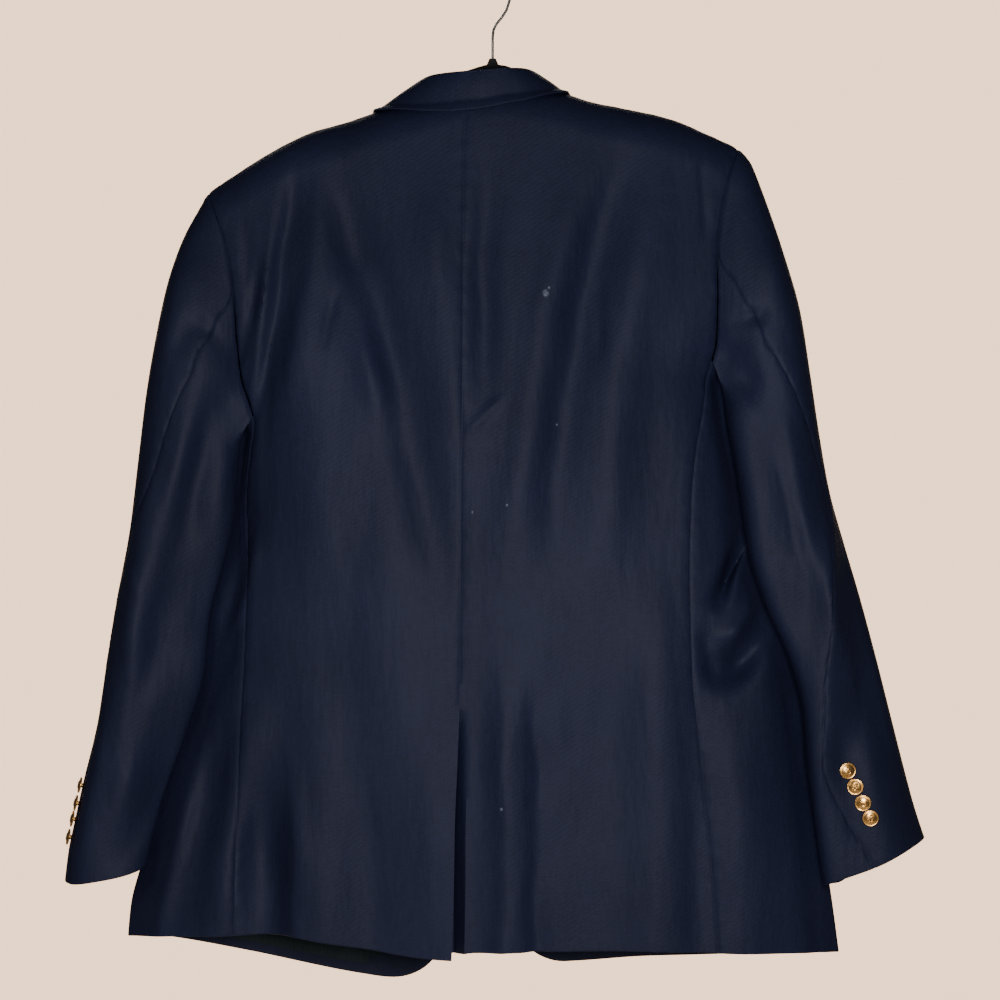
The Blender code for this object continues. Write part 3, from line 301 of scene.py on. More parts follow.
# level sections: the side edges, and how far the back and the fronts stand out
bodySections = table(
    "down left right back front",
    (100, -310, 275, 36.0, 32.0),
    (165, -310, 272, 41.0, 35.0),
    (205, -310, 266, 45.0, 37.0),
    (248, -302, 258, 50.0, 39.2),
    (294, -285, 250, 54.8, 41.2),
    (344, -262, 226, 58.4, 43.0),
    (360, -255, 217, 59.2, 43.5),
    (377, -247, 212, 59.9, 44.0),
    (400, -238, 214, 60.6, 44.6),
    (420, -233, 217, 61.1, 45.1),
    (446, -235, 222, 61.5, 45.6),
    (480, -237, 228, 61.8, 46.1),
    (516, -241, 234.5, 62.0, 46.5),
    (552, -250, 242.5, 62.2, 46.9),
    (596, -261, 259, 62.4, 47.3),
    (645, -266, 279, 62.7, 47.7),
    (694, -280, 288.5, 63.0, 48.0),
    (738, -295, 292.5, 63.3, 48.2),
    (775, -308, 298.5, 63.6, 48.4),
    (818, -320, 304.5, 63.9, 48.6),
    (860, -331, 311, 64.2, 48.8),
    (905, -335, 317, 64.5, 49.0),
)
# the broad form of the middle, whatever the side edges do
bodyMiddle = table(
    "down left right",
    (100, -312, 276), (300, -288, 252), (500, -268, 244), (700, -288, 284), (905, -335, 317),
)
# seam lines: the centre seam, then each armhole with the side seam below it
centreSeam = table(
    "down x",
    (105, -24), (131, -24), (165, -26), (303, -26.6), (395, -27), (487, -28.5), (625, -29),
    (666, -29.5), (725, -31.5), (781, -34), (836, -35), (905, -37),
)
backEdgeLeft = table(
    "down x",
    (205, -261), (213, -258), (248, -245), (294, -236), (344, -232), (377, -228.5), (410, -219),
    (440, -225), (489, -231.4), (523, -230.2), (594, -225.7), (642, -226.6), (689, -228.8),
    (784, -231.5), (890, -233.5),
)
backEdgeRight = table(
    "down x",
    (163, 226), (194, 215.5), (224, 209), (247, 205.5), (269, 204), (306, 204.4), (344, 203.5),
    (360, 200), (402, 192.6), (449, 184), (489, 180.4), (552, 178.7), (639, 180.4), (704, 186.6),
    (766, 192.6), (828, 199), (901, 204),
)
frontEdgeLeft = table(
    "down x",
    (205, -261), (240, -243), (290, -225), (340, -215), (380, -212), (406, -215), (460, -222),
    (520, -226), (600, -242), (700, -262), (800, -286), (895, -303),
)
frontEdgeRight = table(
    "down x",
    (163, 226), (200, 208), (250, 195), (300, 190), (340, 190), (364, 195), (420, 202), (480, 208),
    (560, 220), (650, 250), (740, 268), (820, 280), (905, 291),
)
# the fronts' edges: neck and roll line to the first button, then straight down to the hem
openingLeft = table(
    "down x",
    (122, -80), (150, -79), (180, -76), (250, -71), (330, -65), (420, -57), (500, -51), (650, -48),
    (935, -46),
)
openingRight = table(
    "down x",
    (111, 54), (140, 53), (168, 50), (240, 44), (320, 38), (400, 31), (480, 26), (640, 22), (920, 20),
)
# the lower edge all round
hemBackLeft = table(
    "x down",
    (-335, 887), (-317, 888), (-277, 884), (-223, 881), (-186, 880), (-152, 885), (-108, 892),
    (-85, 896), (-58, 899), (-37, 900.5),
)
hemBackRight = table(
    "x down",
    (-76, 892), (-37, 893), (38, 894), (135, 893), (200, 896), (301, 903), (317, 904),
)
hemFrontLeft = table(
    "x down",
    (-335, 887), (-303, 892), (-229, 907), (-123, 929), (-95, 932.5), (-46, 933),
)
hemFrontRight = table(
    "x down",
    (20, 918), (59, 918), (82, 917), (138, 913), (194, 911), (291, 906), (317, 904),
)
armholeFloorLeft = table("share down", (0, 410), (0.5, 420), (1, 406))
armholeFloorRight = table("share down", (0, 360), (0.5, 372), (1, 364))

cut = {
    "cloth": 2.0,
    "seamGap": -0.08,
    "armholeGap": 0.2,
    "armpitGap": 1.5,
    "sleeveSeamTurn": 0.0004,
    "layGap": 0.5,
    "shoulderRound": 38.0,
    "bodyPower": 2.6,
    "sleevePower": 2.4,
    "cornerRadius": 48.0,
    "step": 3.0,  # between mesh points
    "wander": 1.3,  # how far a fold's line wanders
}
# where the sleeve lies against the body, both lean so that the sleeve overlaps the body from behind
lean = {"startLeft": 400, "startRight": 352, "over": 30}
leanBy = table(
    "down shift depth reach",
    (400, 7, 5, 26), (470, 7, 6, 28), (560, 10, 12, 46), (905, 10, 12, 46),
)

# folds: start, middle and end of the line, half width to its left and right, height, and crispness
backFolds = table(
    "x1 down1 x2 down2 x3 down3 left right height crisp",
    (-176, 158, -190, 314, -224, 446, 8, 15, -9.5, 0.2),
    (-150, 170, -164, 300, -196, 440, 10, 16, 4.0, 0.0),
    (-200, 226, -206, 325, -226, 412, 7, 6, 3.6, 0.2),
    (-209, 240, -214, 330, -228, 408, 6, 6, -3.4, 0.1),
    (-219, 286, -223, 335, -231, 384, 6, 6, -3.4, 0.1),
    (-229, 220, -222, 262, -224, 310, 6, 6, -2.2, 0.1),
    (-170, 140, -86, 325, -38, 610, 18, 24, -12.0, 0.0),
    (-176, 280, -160, 420, -150, 620, 26, 34, 5.0, 0.0),
    (-122, 260, -112, 345, -96, 440, 14, 14, 6.0, 0.0),
    (-136, 286, -145, 322, -156, 356, 5, 5, -1.8, 0.1),
    (-58, 170, -48, 300, -30, 460, 18, 14, 4.2, 0.0),
    (-96, 440, -84, 600, -96, 800, 30, 30, 5.0, 0.0),
    (-60, 560, -60, 740, -58, 1000, 20, 20, 2.6, 0.0),
    (137, 130, 54, 330, 52, 580, 17, 22, -11.5, 0.0),
    (166, 165, 104, 330, 100, 600, 20, 30, 5.5, 0.0),
    (92, 160, 22, 380, 8, 640, 18, 26, 5.0, 0.0),
    (-3, 150, -10, 320, -7, 430, 12, 13, -6.5, 0.0),
    (16, 390, -4, 408, -26, 432, 5, 5, 2.4, 0.1),
    (194, 160, 190, 212, 192, 264, 4, 4, -1.8, 0.2),
    (98, 276, 101, 326, 92, 374, 4, 4, -1.6, 0.1),
    (152, 280, 148, 400, 126, 600, 24, 28, -4.5, 0.0),
    (-207, 700, -203, 860, -206, 1050, 26, 19, -16.0, 0.0),
    (-181, 690, -177, 860, -179, 1050, 7, 12, 5.0, 0.1),
    (-160, 620, -156, 800, -154, 1030, 22, 26, 6.0, 0.0),
    (-112, 700, -110, 850, -106, 1030, 20, 20, -4.0, 0.0),
    (10, 600, 13, 800, 11, 1050, 13, 20, 8.5, 0.0),
    (38, 620, 41, 800, 37, 1050, 8, 16, -6.0, 0.1),
    (72, 540, 74, 740, 66, 1030, 22, 22, -4.5, 0.0),
    (112, 560, 102, 760, 98, 1030, 24, 26, -5.0, 0.0),
    (146, 520, 152, 740, 152, 1030, 24, 26, 6.0, 0.0),
    (178, 620, 186, 770, 188, 1000, 14, 14, -3.0, 0.0),
    (250, 500, 226, 546, 200, 592, 8, 7, -30.0, 0.2),
    (270, 560, 236, 592, 204, 622, 10, 9, 10.0, 0.0),
    (292, 576, 246, 618, 198, 664, 19, 12, -20.0, 0.0),
    (193, 600, 196, 630, 200, 664, 7, 8, -6.0, 0.0),
    (218, 640, 230, 760, 236, 1050, 24, 28, 7.0, 0.0),
    (280, 650, 288, 690, 292, 750, 8, 8, -8.0, 0.0),
    (292, 720, 302, 820, 310, 1000, 8, 8, -4.0, 0.0),
    (-232, 450, -236, 560, -272, 680, 16, 18, -15.0, 0.0),
    (-244, 670, -268, 780, -306, 920, 18, 20, -11.0, 0.0),
    (-222, 505, -212, 560, -262, 640, 9, 9, 6.0, 0.0),
    (-214, 640, -230, 780, -262, 930, 14, 16, 6.0, 0.0),
    (-272, 700, -292, 830, -324, 960, 14, 16, 5.0, 0.0),
)
frontFolds = table(
    "x1 down1 x2 down2 x3 down3 left right height crisp",
    (-128, 175, -120, 300, -104, 420, 22, 26, -5.1, 0.0),
    (-168, 190, -176, 280, -200, 390, 12, 16, 5.1, 0.1),
    (-190, 230, -196, 320, -208, 400, 9, 10, -5.8, 0.1),
    (-96, 360, -104, 460, -86, 560, 20, 22, 4.3, 0.0),
    (-106, 520, -120, 680, -112, 900, 30, 34, -7.2, 0.0),
    (-70, 560, -76, 720, -72, 900, 18, 16, 4.3, 0.0),
    (-196, 620, -200, 760, -214, 890, 28, 32, 5.1, 0.0),
    (-160, 720, -164, 800, -168, 900, 16, 20, -4.3, 0.0),
    (112, 160, 106, 280, 92, 400, 22, 26, -5.1, 0.0),
    (146, 180, 158, 260, 176, 352, 14, 12, 5.1, 0.1),
    (166, 210, 174, 290, 184, 356, 9, 9, -5.8, 0.1),
    (80, 360, 86, 460, 70, 560, 18, 20, 4.3, 0.0),
    (92, 520, 98, 700, 104, 900, 30, 34, -7.2, 0.0),
    (54, 560, 58, 720, 60, 890, 16, 18, 4.3, 0.0),
    (176, 560, 186, 720, 200, 890, 28, 32, 5.1, 0.0),
    (140, 700, 148, 800, 150, 896, 16, 16, -4.3, 0.0),
)
sleeveFolds = table(
    "x1 down1 x2 down2 x3 down3 left right height crisp",
    (-240, 320, -262, 400, -306, 540, 13, 10, 5.5, 0.0),
    (-240, 330, -262, 440, -300, 610, 14, 18, -12.0, 0.0),
    (-258, 296, -272, 330, -290, 362, 9, 9, -4.0, 0.0),
    (-278, 230, -292, 300, -304, 380, 12, 12, 4.0, 0.0),
    (-312, 440, -322, 560, -334, 680, 12, 14, 6.5, 0.0),
    (-338, 530, -330, 550, -318, 576, 5, 6, 3.5, 0.1),
    (-290, 520, -306, 640, -330, 760, 12, 14, -7.0, 0.0),
    (-254, 470, -272, 650, -336, 850, 24, 30, -22.0, 0.0),
    (-300, 620, -316, 700, -346, 800, 10, 12, 5.5, 0.0),
    (-290, 700, -318, 770, -356, 830, 12, 12, -5.5, 0.0),
    (-352, 650, -364, 730, -376, 830, 9, 9, 4.0, 0.0),
    (208, 334, 226, 350, 242, 412, 10, 11, -9.0, 0.1),
    (220, 304, 236, 318, 256, 324, 8, 8, -4.0, 0.1),
    (250, 230, 262, 290, 274, 350, 12, 12, 4.0, 0.0),
    (220, 380, 254, 560, 304, 840, 14, 24, 6.0, 0.0),
    (262, 400, 282, 500, 290, 600, 12, 12, 4.5, 0.0),
    (256, 440, 276, 520, 290, 600, 7, 8, -3.0, 0.0),
    (300, 440, 312, 560, 302, 800, 15, 10, 11.0, 0.3),
    (322, 470, 332, 580, 336, 760, 10, 14, -9.0, 0.0),
    (334, 540, 349, 650, 360, 760, 12, 12, -4.0, 0.0),
    (352, 580, 366, 680, 380, 790, 10, 10, 4.5, 0.0),
    (318, 680, 324, 740, 338, 830, 9, 9, -4.0, 0.0),
)


def crest(x):
    return read(shoulderLine, "down", x)


def dropOf(level):
    # a level runs round the shoulder from 0 to 1, then straight down
    size = np.abs(level)
    bend = cut["shoulderRound"] * (1 - np.cos(np.minimum(size, 1) * pi / 2))
    return bend + np.maximum(size - 1, 0) * cut["shoulderRound"] * pi / 2


def levelOf(drop):
    drop = np.maximum(drop, 0)
    bend = np.arccos(1 - np.minimum(drop, cut["shoulderRound"]) / cut["shoulderRound"]) * 2 / pi
    return bend + np.maximum(drop - cut["shoulderRound"], 0) / (cut["shoulderRound"] * pi / 2)


def foldHeight(folds, x, down):
    # soft troughs and ridges, each fading towards its two ends
    x, down = np.broadcast_arrays(np.asarray(x, float), np.asarray(down, float))
    total = np.zeros(x.shape)
    steps = np.linspace(0, 1, 15)
    for i in range(len(folds["height"])):
        lineX, lineDown = (
            folds[way + "1"][i] * (1 - steps) ** 2 + folds[way + "2"][i] * 2 * steps * (1 - steps)
            + folds[way + "3"][i] * steps**2 for way in ("x", "down"))
        reach = 3 * max(folds["left"][i], folds["right"][i])
        close = (x > lineX.min() - reach) & (x < lineX.max() + reach)
        close &= (down > lineDown.min() - reach) & (down < lineDown.max() + reach)
        if not close.any():
            continue
        px, pd = x[close], down[close]
        px = px + cut["wander"] * (np.sin(pd / 31 + i * 1.9) + 0.6 * np.sin(pd / 13 + i * 3.1))
        nearest = np.full(px.shape, 1e9)
        share = np.zeros(px.shape)
        onLeft = np.zeros(px.shape, bool)
        for j in range(len(steps) - 1):
            runX, runDown = lineX[j + 1] - lineX[j], lineDown[j + 1] - lineDown[j]
            forward = (px - lineX[j]) * runX + (pd - lineDown[j]) * runDown
            along = np.clip(forward / (runX**2 + runDown**2), 0, 1)
            offX, offDown = px - lineX[j] - along * runX, pd - lineDown[j] - along * runDown
            away = np.hypot(offX, offDown)
            closer = away < nearest
            nearest = np.where(closer, away, nearest)
            share = np.where(closer, steps[j] + along * (steps[1] - steps[0]), share)
            onLeft = np.where(closer, offX * runDown - offDown * runX < 0, onLeft)
        spread = nearest / np.where(onLeft, folds["left"][i], folds["right"][i])
        crisp = folds["crisp"][i]
        sharp = np.exp(-1.7 * (np.sqrt(spread**2 + 0.006) - 0.0775))
        profile = (1 - crisp) * np.exp(-(spread**2)) + crisp * sharp
        fade = softened(share * 3) * softened((1 - share) * 3) * (1 + 0.2 * np.sin(share * 11 + i * 1.7))
        total[close] += folds["height"][i] * profile * fade
    return total


def sectionOf(rows, down):
    left = read(rows, "left", down)
    right = read(rows, "right", down)
    return (left + right) / 2, (right - left) / 2


def leaned(points):
    # moves points near where sleeve and body meet: behind, towards the body, and in front, away from it
    x, y, down = points[..., 0], points[..., 1], -points[..., 2]
    moved = points.copy()
    for hand, side, start in ((-1, "left", lean["startLeft"]), (1, "right", lean["startRight"])):
        away = np.abs(x - read(bodySections, side, down) - 2 * hand)
        weight = softened(1 - away / read(leanBy, "reach", down)) * softened((down - start) / lean["over"])
        moved[..., 0] += hand * read(leanBy, "shift", down) * np.tanh(y / read(leanBy, "depth", down)) * weight
    return moved


def bodyDepth(x, down, bulge, side):
    centre, half = sectionOf(bodyMiddle, down)
    broad = np.sqrt(1 - np.minimum(np.abs(x - centre) / half, 1) ** cut["bodyPower"])
    bulge = bulge + (broad - bulge) * softened((bulge - 0.5) / 0.35)
    flat = read(bodySections, "back" if side < 0 else "front", down)
    folds = foldHeight(backFolds if side < 0 else frontFolds, x, down)
    return flat * bulge + folds * np.minimum(1, bulge * 1.6)


def bodyUpright(x, level, side):
    # the outer surface over x and a level, before it leans: side is -1 on the back and 1 on the fronts
    x, level = np.broadcast_arrays(np.asarray(x, float), np.asarray(level, float))
    down = crest(x) + dropOf(level)
    centre, half = sectionOf(bodySections, down)
    across = np.minimum(np.abs(x - centre) / half, 1)
    bulge = np.sqrt(1 - across ** cut["bodyPower"])
    over = np.sin(np.clip(level, -1, 1) * pi / 2)
    return np.stack([x, side * bodyDepth(x, down, bulge, side) * over, -down], axis=-1)


def bodyPoint(x, level, side):
    return leaned(bodyUpright(x, level, side))


def aroundUpright(angle, down):
    # the same surface by the angle round a level section: right edge 0, back 90, left edge 180
    centre, half = sectionOf(bodySections, down)
    x = centre + half * np.sign(np.cos(angle)) * np.abs(np.cos(angle)) ** (2 / cut["bodyPower"])
    bulge = np.abs(np.sin(angle))
    y = np.where(np.sin(angle) > 0, -bodyDepth(x, down, bulge, -1), bodyDepth(x, down, bulge, 1))
    return np.stack([x, y, -down], axis=-1)


def angleOf(x, down):
    centre, half = sectionOf(bodySections, down)
    share = np.clip((x - centre) / half, -1, 1)
    return np.arccos(np.sign(share) * np.abs(share) ** (cut["bodyPower"] / 2))


def levelAlong(line, level):
    # where a seam line crosses a level
    down = np.full(np.shape(level), 300.0)
    for _ in range(30):
        x = read(line, "x", down)
        down = crest(x) + dropOf(level)
    return x


# every cloth piece is a thin shell between an outer and an inner grid of points
edgeLook = {
    "sink": 1.0, "sinkWidth": 1.7, "ridge": 0.28, "ridgeAt": 9.0, "ridgeWidth": 3.5,
    "pucker": 0.22, "puckerWidth": 6.0,
}


def spacing(length, step=None, fine=(0.0, 0.25, 0.7, 1.5, 3.0)):
    # shares from 0 to 1 with close points at both ends
    step = step or cut["step"]
    ends = np.array(fine) / length
    count = max(3, int(round((length - 2 * fine[-1]) / step)))
    middle = np.linspace(ends[-1], 1 - ends[-1], count + 1)
    return np.concatenate([ends[:-1], middle, 1 - ends[:-1][::-1]])


def gridNormals(grid, outwards):
    # outwards is a rough direction, or a grid of them, on the outer side
    normals = unit(np.cross(np.gradient(grid, axis=0), np.gradient(grid, axis=1)))
    flip = np.sign(np.sum(normals * outwards, axis=(0, 1, 2)))
    return normals * flip


def edgeDistances(grid):
    across = np.linalg.norm(np.diff(grid, axis=1), axis=-1)
    down = np.linalg.norm(np.diff(grid, axis=0), axis=-1)
    near = np.concatenate([np.zeros((grid.shape[0], 1)), np.cumsum(across, axis=1)], axis=1)
    top = np.concatenate([np.zeros((1, grid.shape[1])), np.cumsum(down, axis=0)], axis=0)
    return {"near": near, "far": near[:, -1:] - near, "top": top, "bottom": top[-1:] - top}


def finishEdges(grid, edges, thick, free=0.0):
    # seams sink and pucker, folded edges are round; returns what is taken off outside and inside;
    # free is 1 where the near edge is no longer sewn
    away = edgeDistances(grid)
    outer = np.zeros(grid.shape[:2])
    inner = np.zeros(grid.shape[:2])
    for edge, kind in edges.items():
        d = away[edge]
        if kind == "seam":
            run = away["top"] if edge in ("near", "far") else away["near"]
            wave = np.sin(run * 0.33) + 0.6 * np.sin(run * 0.19 + 1.3) + 0.4 * np.sin(run * 0.61 + 0.4)
            sunk = edgeLook["sink"] * np.exp(-((d / edgeLook["sinkWidth"]) ** 2))
            sunk -= edgeLook["ridge"] * np.exp(-(((d - edgeLook["ridgeAt"]) / edgeLook["ridgeWidth"]) ** 2))
            sunk += edgeLook["pucker"] * wave * np.exp(-((d / edgeLook["puckerWidth"]) ** 2))
            sunk *= 1 - free if edge == "near" else 1
            outer += sunk
            inner += sunk
        elif kind == "fold":
            half = thick / 2
            inside = np.clip(1 - d / half, 0, 1)
            rounding = half * (1 - np.sqrt(1 - inside**2)) * 0.9
            outer += rounding
            inner -= rounding
    return outer, inner


def meshObject(name, points, faces, finishes, slots=None, sharp=40):
    mesh = bpy.data.meshes.new(name)
    faces = faces.tolist() if isinstance(faces, np.ndarray) else faces
    mesh.from_pydata((np.asarray(points) * mm).tolist(), [], faces)
    for finish in finishes:
        mesh.materials.append(finish)
    if slots is not None:
        mesh.polygons.foreach_set("material_index", np.asarray(slots, np.int32))
    mesh.shade_smooth()
    mesh.set_sharp_from_angle(angle=radians(sharp))
    made = bpy.data.objects.new(name, mesh)
    bpy.context.scene.collection.objects.link(made)
    return made


def shell(name, outside, inside, outerFinish, innerFinish, turned=None):
    # turned is true where the cloth itself shows on the inner side, such as a facing or a turned-up hem
    rows, columns = outside.shape[:2]
    count = rows * columns
    index = np.arange(count).reshape(rows, columns)
    quads = np.stack([index[:-1, :-1], index[:-1, 1:], index[1:, 1:], index[1:, :-1]], axis=-1).reshape(-1, 4)
    rim = np.concatenate([index[0, :], index[1:, -1], index[-1, -2::-1], index[-2:0:-1, 0]])
    following = np.roll(rim, -1)
    wall = np.stack([following, rim, rim + count, following + count], axis=-1)
    faces = np.concatenate([quads, quads[:, ::-1] + count, wall])
    i, j = rows // 2, columns // 2
    corner = outside[i, j]
    if np.dot(np.cross(outside[i, j + 1] - corner, outside[i + 1, j] - corner), corner - inside[i, j]) < 0:
        faces = faces[:, ::-1]
    slots = np.zeros(len(faces), np.int32)
    innerSlots = np.ones((rows - 1, columns - 1), np.int32)
    if turned is not None:
        innerSlots[turned[:-1, :-1] & turned[1:, 1:]] = 0
    slots[len(quads):2 * len(quads)] = innerSlots.reshape(-1)
    points = np.concatenate([outside.reshape(-1, 3), inside.reshape(-1, 3)])
    return meshObject(name, points, faces, [outerFinish, innerFinish], slots)


def clothArea(outside):
    # the area of one layer, in square metres
    first = np.cross(outside[1:, :-1] - outside[:-1, :-1], outside[:-1, 1:] - outside[:-1, :-1])
    second = np.cross(outside[1:, :-1] - outside[1:, 1:], outside[:-1, 1:] - outside[1:, 1:])
    return float((np.linalg.norm(first, axis=-1) + np.linalg.norm(second, axis=-1)).sum() / 2 * 1e-6)


def declare(piece, nodes):
    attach(piece, "root")
    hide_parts(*nodes)


def declareCloth(piece, nodes):
    declare(piece, nodes)


def clothPiece(name, outside, normals, edges, thick, finishes, turned=None, free=0.0):
    # the shell of one cut piece below its outer grid, with its edges finished
    offOuter, offInner = finishEdges(outside, edges, thick, free)
    inside = outside - normals * (thick + offInner[..., None])
    piece = shell(name, outside - normals * offOuter[..., None], inside, *finishes, turned)
    print(name, "area", round(clothArea(outside), 4))
    return piece


sewnEdges = {"near": "seam", "far": "seam", "top": "seam", "bottom": "fold"}
openEdges = {"near": "fold", "far": "seam", "top": "seam", "bottom": "fold"}
foldedEdges = {"near": "fold", "far": "fold", "top": "fold", "bottom": "fold"}


# backs, fronts and side panels
levelLength = cut["shoulderRound"] * pi / 2
overShoulder = cut["seamGap"] / 2 / levelLength

backLeft = {
    "node": "back_left", "side": -1, "hand": -1, "vent": "over",
    "opening": centreSeam, "outer": backEdgeLeft, "hem": hemBackLeft, "flat": (0.245, 0.800), "area": 0.172,
}
backRight = {
    "node": "back_right", "side": -1, "hand": 1, "vent": "under",
    "opening": centreSeam, "outer": backEdgeRight, "hem": hemBackRight, "flat": (0.300, 0.810), "area": 0.195,
}
frontLeft = {
    "node": "front_left", "side": 1, "hand": -1, "vent": None,
    "opening": openingLeft, "outer": frontEdgeLeft, "hem": hemFrontLeft, "flat": (0.275, 0.830), "area": 0.170,
}
frontRight = {
    "node": "front_right", "side": 1, "hand": 1, "vent": None,
    "opening": openingRight, "outer": frontEdgeRight, "hem": hemFrontRight, "flat": (0.290, 0.830), "area": 0.175,
}
# the centre vent: the right back runs on under the left one, steps in below it and dips at its edge
vent = {
    "top": 668,
    "underlap": 36, "bend": 36, "bendWidth": 16, "bendAbove": 18, "bendOver": 20,
    "stepIn": 3.2, "stepAbove": 110, "stepOver": 108, "stepTo": 46, "stepAcross": 76,
    "dip": 26.0, "dipBelow": 10, "dipOver": 220, "dipWidth": 4, "dipWidens": 7,
    "lift": 4.0, "liftOver": 170, "liftWidth": 26, "freeOver": 12,
}
facingWidth = 78.0  # the cloth turned in behind each front edge
hemTurn = 19.0  # the cloth turned up inside the hem below the lining


def edgeLine(line, start, end, shift):
    def edge(share):
        level = start + (end - start) * share
        return np.stack([levelAlong(line, level) + shift, level], axis=-1)

    return edge


def blended(top, bottom, near, far, across, along):
    # a grid blended between four edges, each of x and level
    u, v = across[None, :, None], along[:, None, None]
    topRow, bottomRow = top(across)[None], bottom(across)[None]
    nearColumn, farColumn = near(along)[:, None], far(along)[:, None]
    corners = (1 - u) * (1 - v) * topRow[:, :1] + u * (1 - v) * topRow[:, -1:]
    corners = corners + (1 - u) * v * bottomRow[:, :1] + u * v * bottomRow[:, -1:]
    grid = (1 - v) * topRow + v * bottomRow + (1 - u) * nearColumn + u * farColumn - corners
    return grid[..., 0], grid[..., 1]


def panelGrid(spec):
    side, hand, opening, outer, hem = (spec[key] for key in ("side", "hand", "opening", "outer", "hem"))
    halfGap = cut["seamGap"] / 2 * hand
    tip = outer["x"][0]
    neckX = neckSeam["x"][0] if hand < 0 else neckSeam["x"][-1]
    startX = levelAlong(centreSeam, 0.6) if side < 0 else neckX
    foot = opening["x"][-1]

    def top(share):
        x = startX + halfGap * (side < 0) + (tip - halfGap - startX) * share
        neckLevel = levelOf(read(neckSeam, "down", x) - crest(x)) * (side < 0)
        return np.stack([x, np.where((x - neckX) * hand < -0.01, neckLevel, 0) + overShoulder], axis=-1)

    def hemLevel(x):
        down = read(hem, "down", x)
        if side > 0:
            fromEdge = np.clip(np.abs(x - foot) / cut["cornerRadius"], 0, 1)
            down = down - cut["cornerRadius"] * (1 - np.sqrt(1 - (1 - fromEdge) ** 2)) * 0.9
        return levelOf(down - crest(x))

    def bottom(share):
        x = foot + (outer["x"][-1] - foot) * share
        return np.stack([x, hemLevel(x)], axis=-1)

    start = float(levelOf(read(neckSeam, "down", startX) - crest(startX)) if side < 0 else 0) + overShoulder
    nearEnd = float(hemLevel(foot + halfGap))
    farEnd = float(levelOf(read(hem, "down", outer["x"][-1]) - crest(outer["x"][-1])))
    near = edgeLine(opening, start, nearEnd, halfGap * (side < 0))
    far = edgeLine(outer, overShoulder, farEnd, -halfGap)
    along = spacing((farEnd - overShoulder) * levelLength)
    across = spacing(abs(tip - startX))
    return blended(top, bottom, near, far, across, along)


def panelPiece(name, spec, finish, edges):
    x, level = panelGrid(spec)
    if spec["vent"] == "under":
        down = crest(x) + dropOf(level)
        share = np.linspace(0, 1, x.shape[1])[None, :]
        reach = vent["bend"] * (1 - (1 - share) ** 3)
        below = softened((down[:, :1] - vent["top"] + vent["bendAbove"]) / vent["bendOver"])
        x = x - vent["underlap"] * np.exp(-((reach / vent["bendWidth"]) ** 2)) * below
    outside = bodyPoint(x, level, spec["side"])
    normals = gridNormals(outside, np.array([0, spec["side"], 0.2]))
    below = crest(x) + dropOf(level) - vent["top"]
    fromEdge = x - levelAlong(spec["opening"], level)
    free = 0.0
    if spec["vent"] == "under":
        opened = np.clip((below - vent["dipBelow"]) / vent["dipOver"], 0, 1)
        stepIn = vent["stepIn"] * softened((below + vent["stepAbove"]) / vent["stepOver"])
        stepIn = stepIn * softened((vent["stepTo"] - x) / vent["stepAcross"])
        width = vent["dipWidth"] + vent["dipWidens"] * opened
        stepIn = stepIn + vent["dip"] * opened**0.5 * softened(1 - (fromEdge - 1) / width)
        outside = outside - normals * stepIn[..., None]
    if spec["vent"] == "over":
        free = softened(below / vent["freeOver"])
        near = np.exp(-((np.abs(fromEdge) / vent["liftWidth"]) ** 2))
        outside = outside + normals * (vent["lift"] * softened(below / vent["liftOver"]) * near)[..., None]
    away = edgeDistances(outside)
    turned = away["bottom"] < hemTurn
    if spec["side"] > 0:
        turned = turned | (away["near"] < facingWidth)
    piece = clothPiece(name, outside, normals, edges, cut["cloth"], (finish, satin), turned, free)
    declareCloth(piece, [spec["node"]])


panelPiece("backLeft", backLeft, wool, sewnEdges)
panelPiece("backRight", backRight, woolLinted, sewnEdges)
panelPiece("frontLeft", frontLeft, wool, openEdges)
panelPiece("frontRight", frontRight, wool, openEdges)

sideLeft = {
    "node": "side_left", "hand": -1, "back": backEdgeLeft, "front": frontEdgeLeft, "floor": armholeFloorLeft,
    "hemBack": hemBackLeft, "hemFront": hemFrontLeft, "flat": (0.155, 0.490), "area": 0.045,
}
sideRight = {
    "node": "side_right", "hand": 1, "back": backEdgeRight, "front": frontEdgeRight, "floor": armholeFloorRight,
    "hemBack": hemBackRight, "hemFront": hemFrontRight, "flat": (0.190, 0.550), "area": 0.073,
}


def sideSurface(spec):
    # before it leans: share from the back seam to the front seam, and share down
    hand, floor = spec["hand"], spec["floor"]
    floorDown = floor["down"]

    def seamDown(line, startDown, hem, along):
        foot = line["x"][-1]
        end = levelOf(read(hem, "down", foot) - crest(foot))
        start = levelOf(startDown - crest(read(line, "x", startDown)))
        level = start + (end - start) * along
        return crest(levelAlong(line, level)) + dropOf(level)

    def surface(share, along):
        share, along = np.broadcast_arrays(np.asarray(share, float), np.asarray(along, float))
        dip = read(floor, "down", share) - floorDown[0] - (floorDown[-1] - floorDown[0]) * share
        down = seamDown(spec["back"], floorDown[0], spec["hemBack"], along) * (1 - share)
        down = down + seamDown(spec["front"], floorDown[-1], spec["hemFront"], along) * share
        down = down + dip * (1 - np.clip(along * 4, 0, 1)) ** 2 + cut["armholeGap"] / 2 * (1 - along)
        back = angleOf(read(spec["back"], "x", down) + cut["seamGap"] / 2 * hand, down)
        front = angleOf(read(spec["front"], "x", down) + cut["seamGap"] / 2 * hand, down)
        turn = 2 * pi - front - back if hand < 0 else -front - back
        return aroundUpright(back + turn * share, down)

    return surface


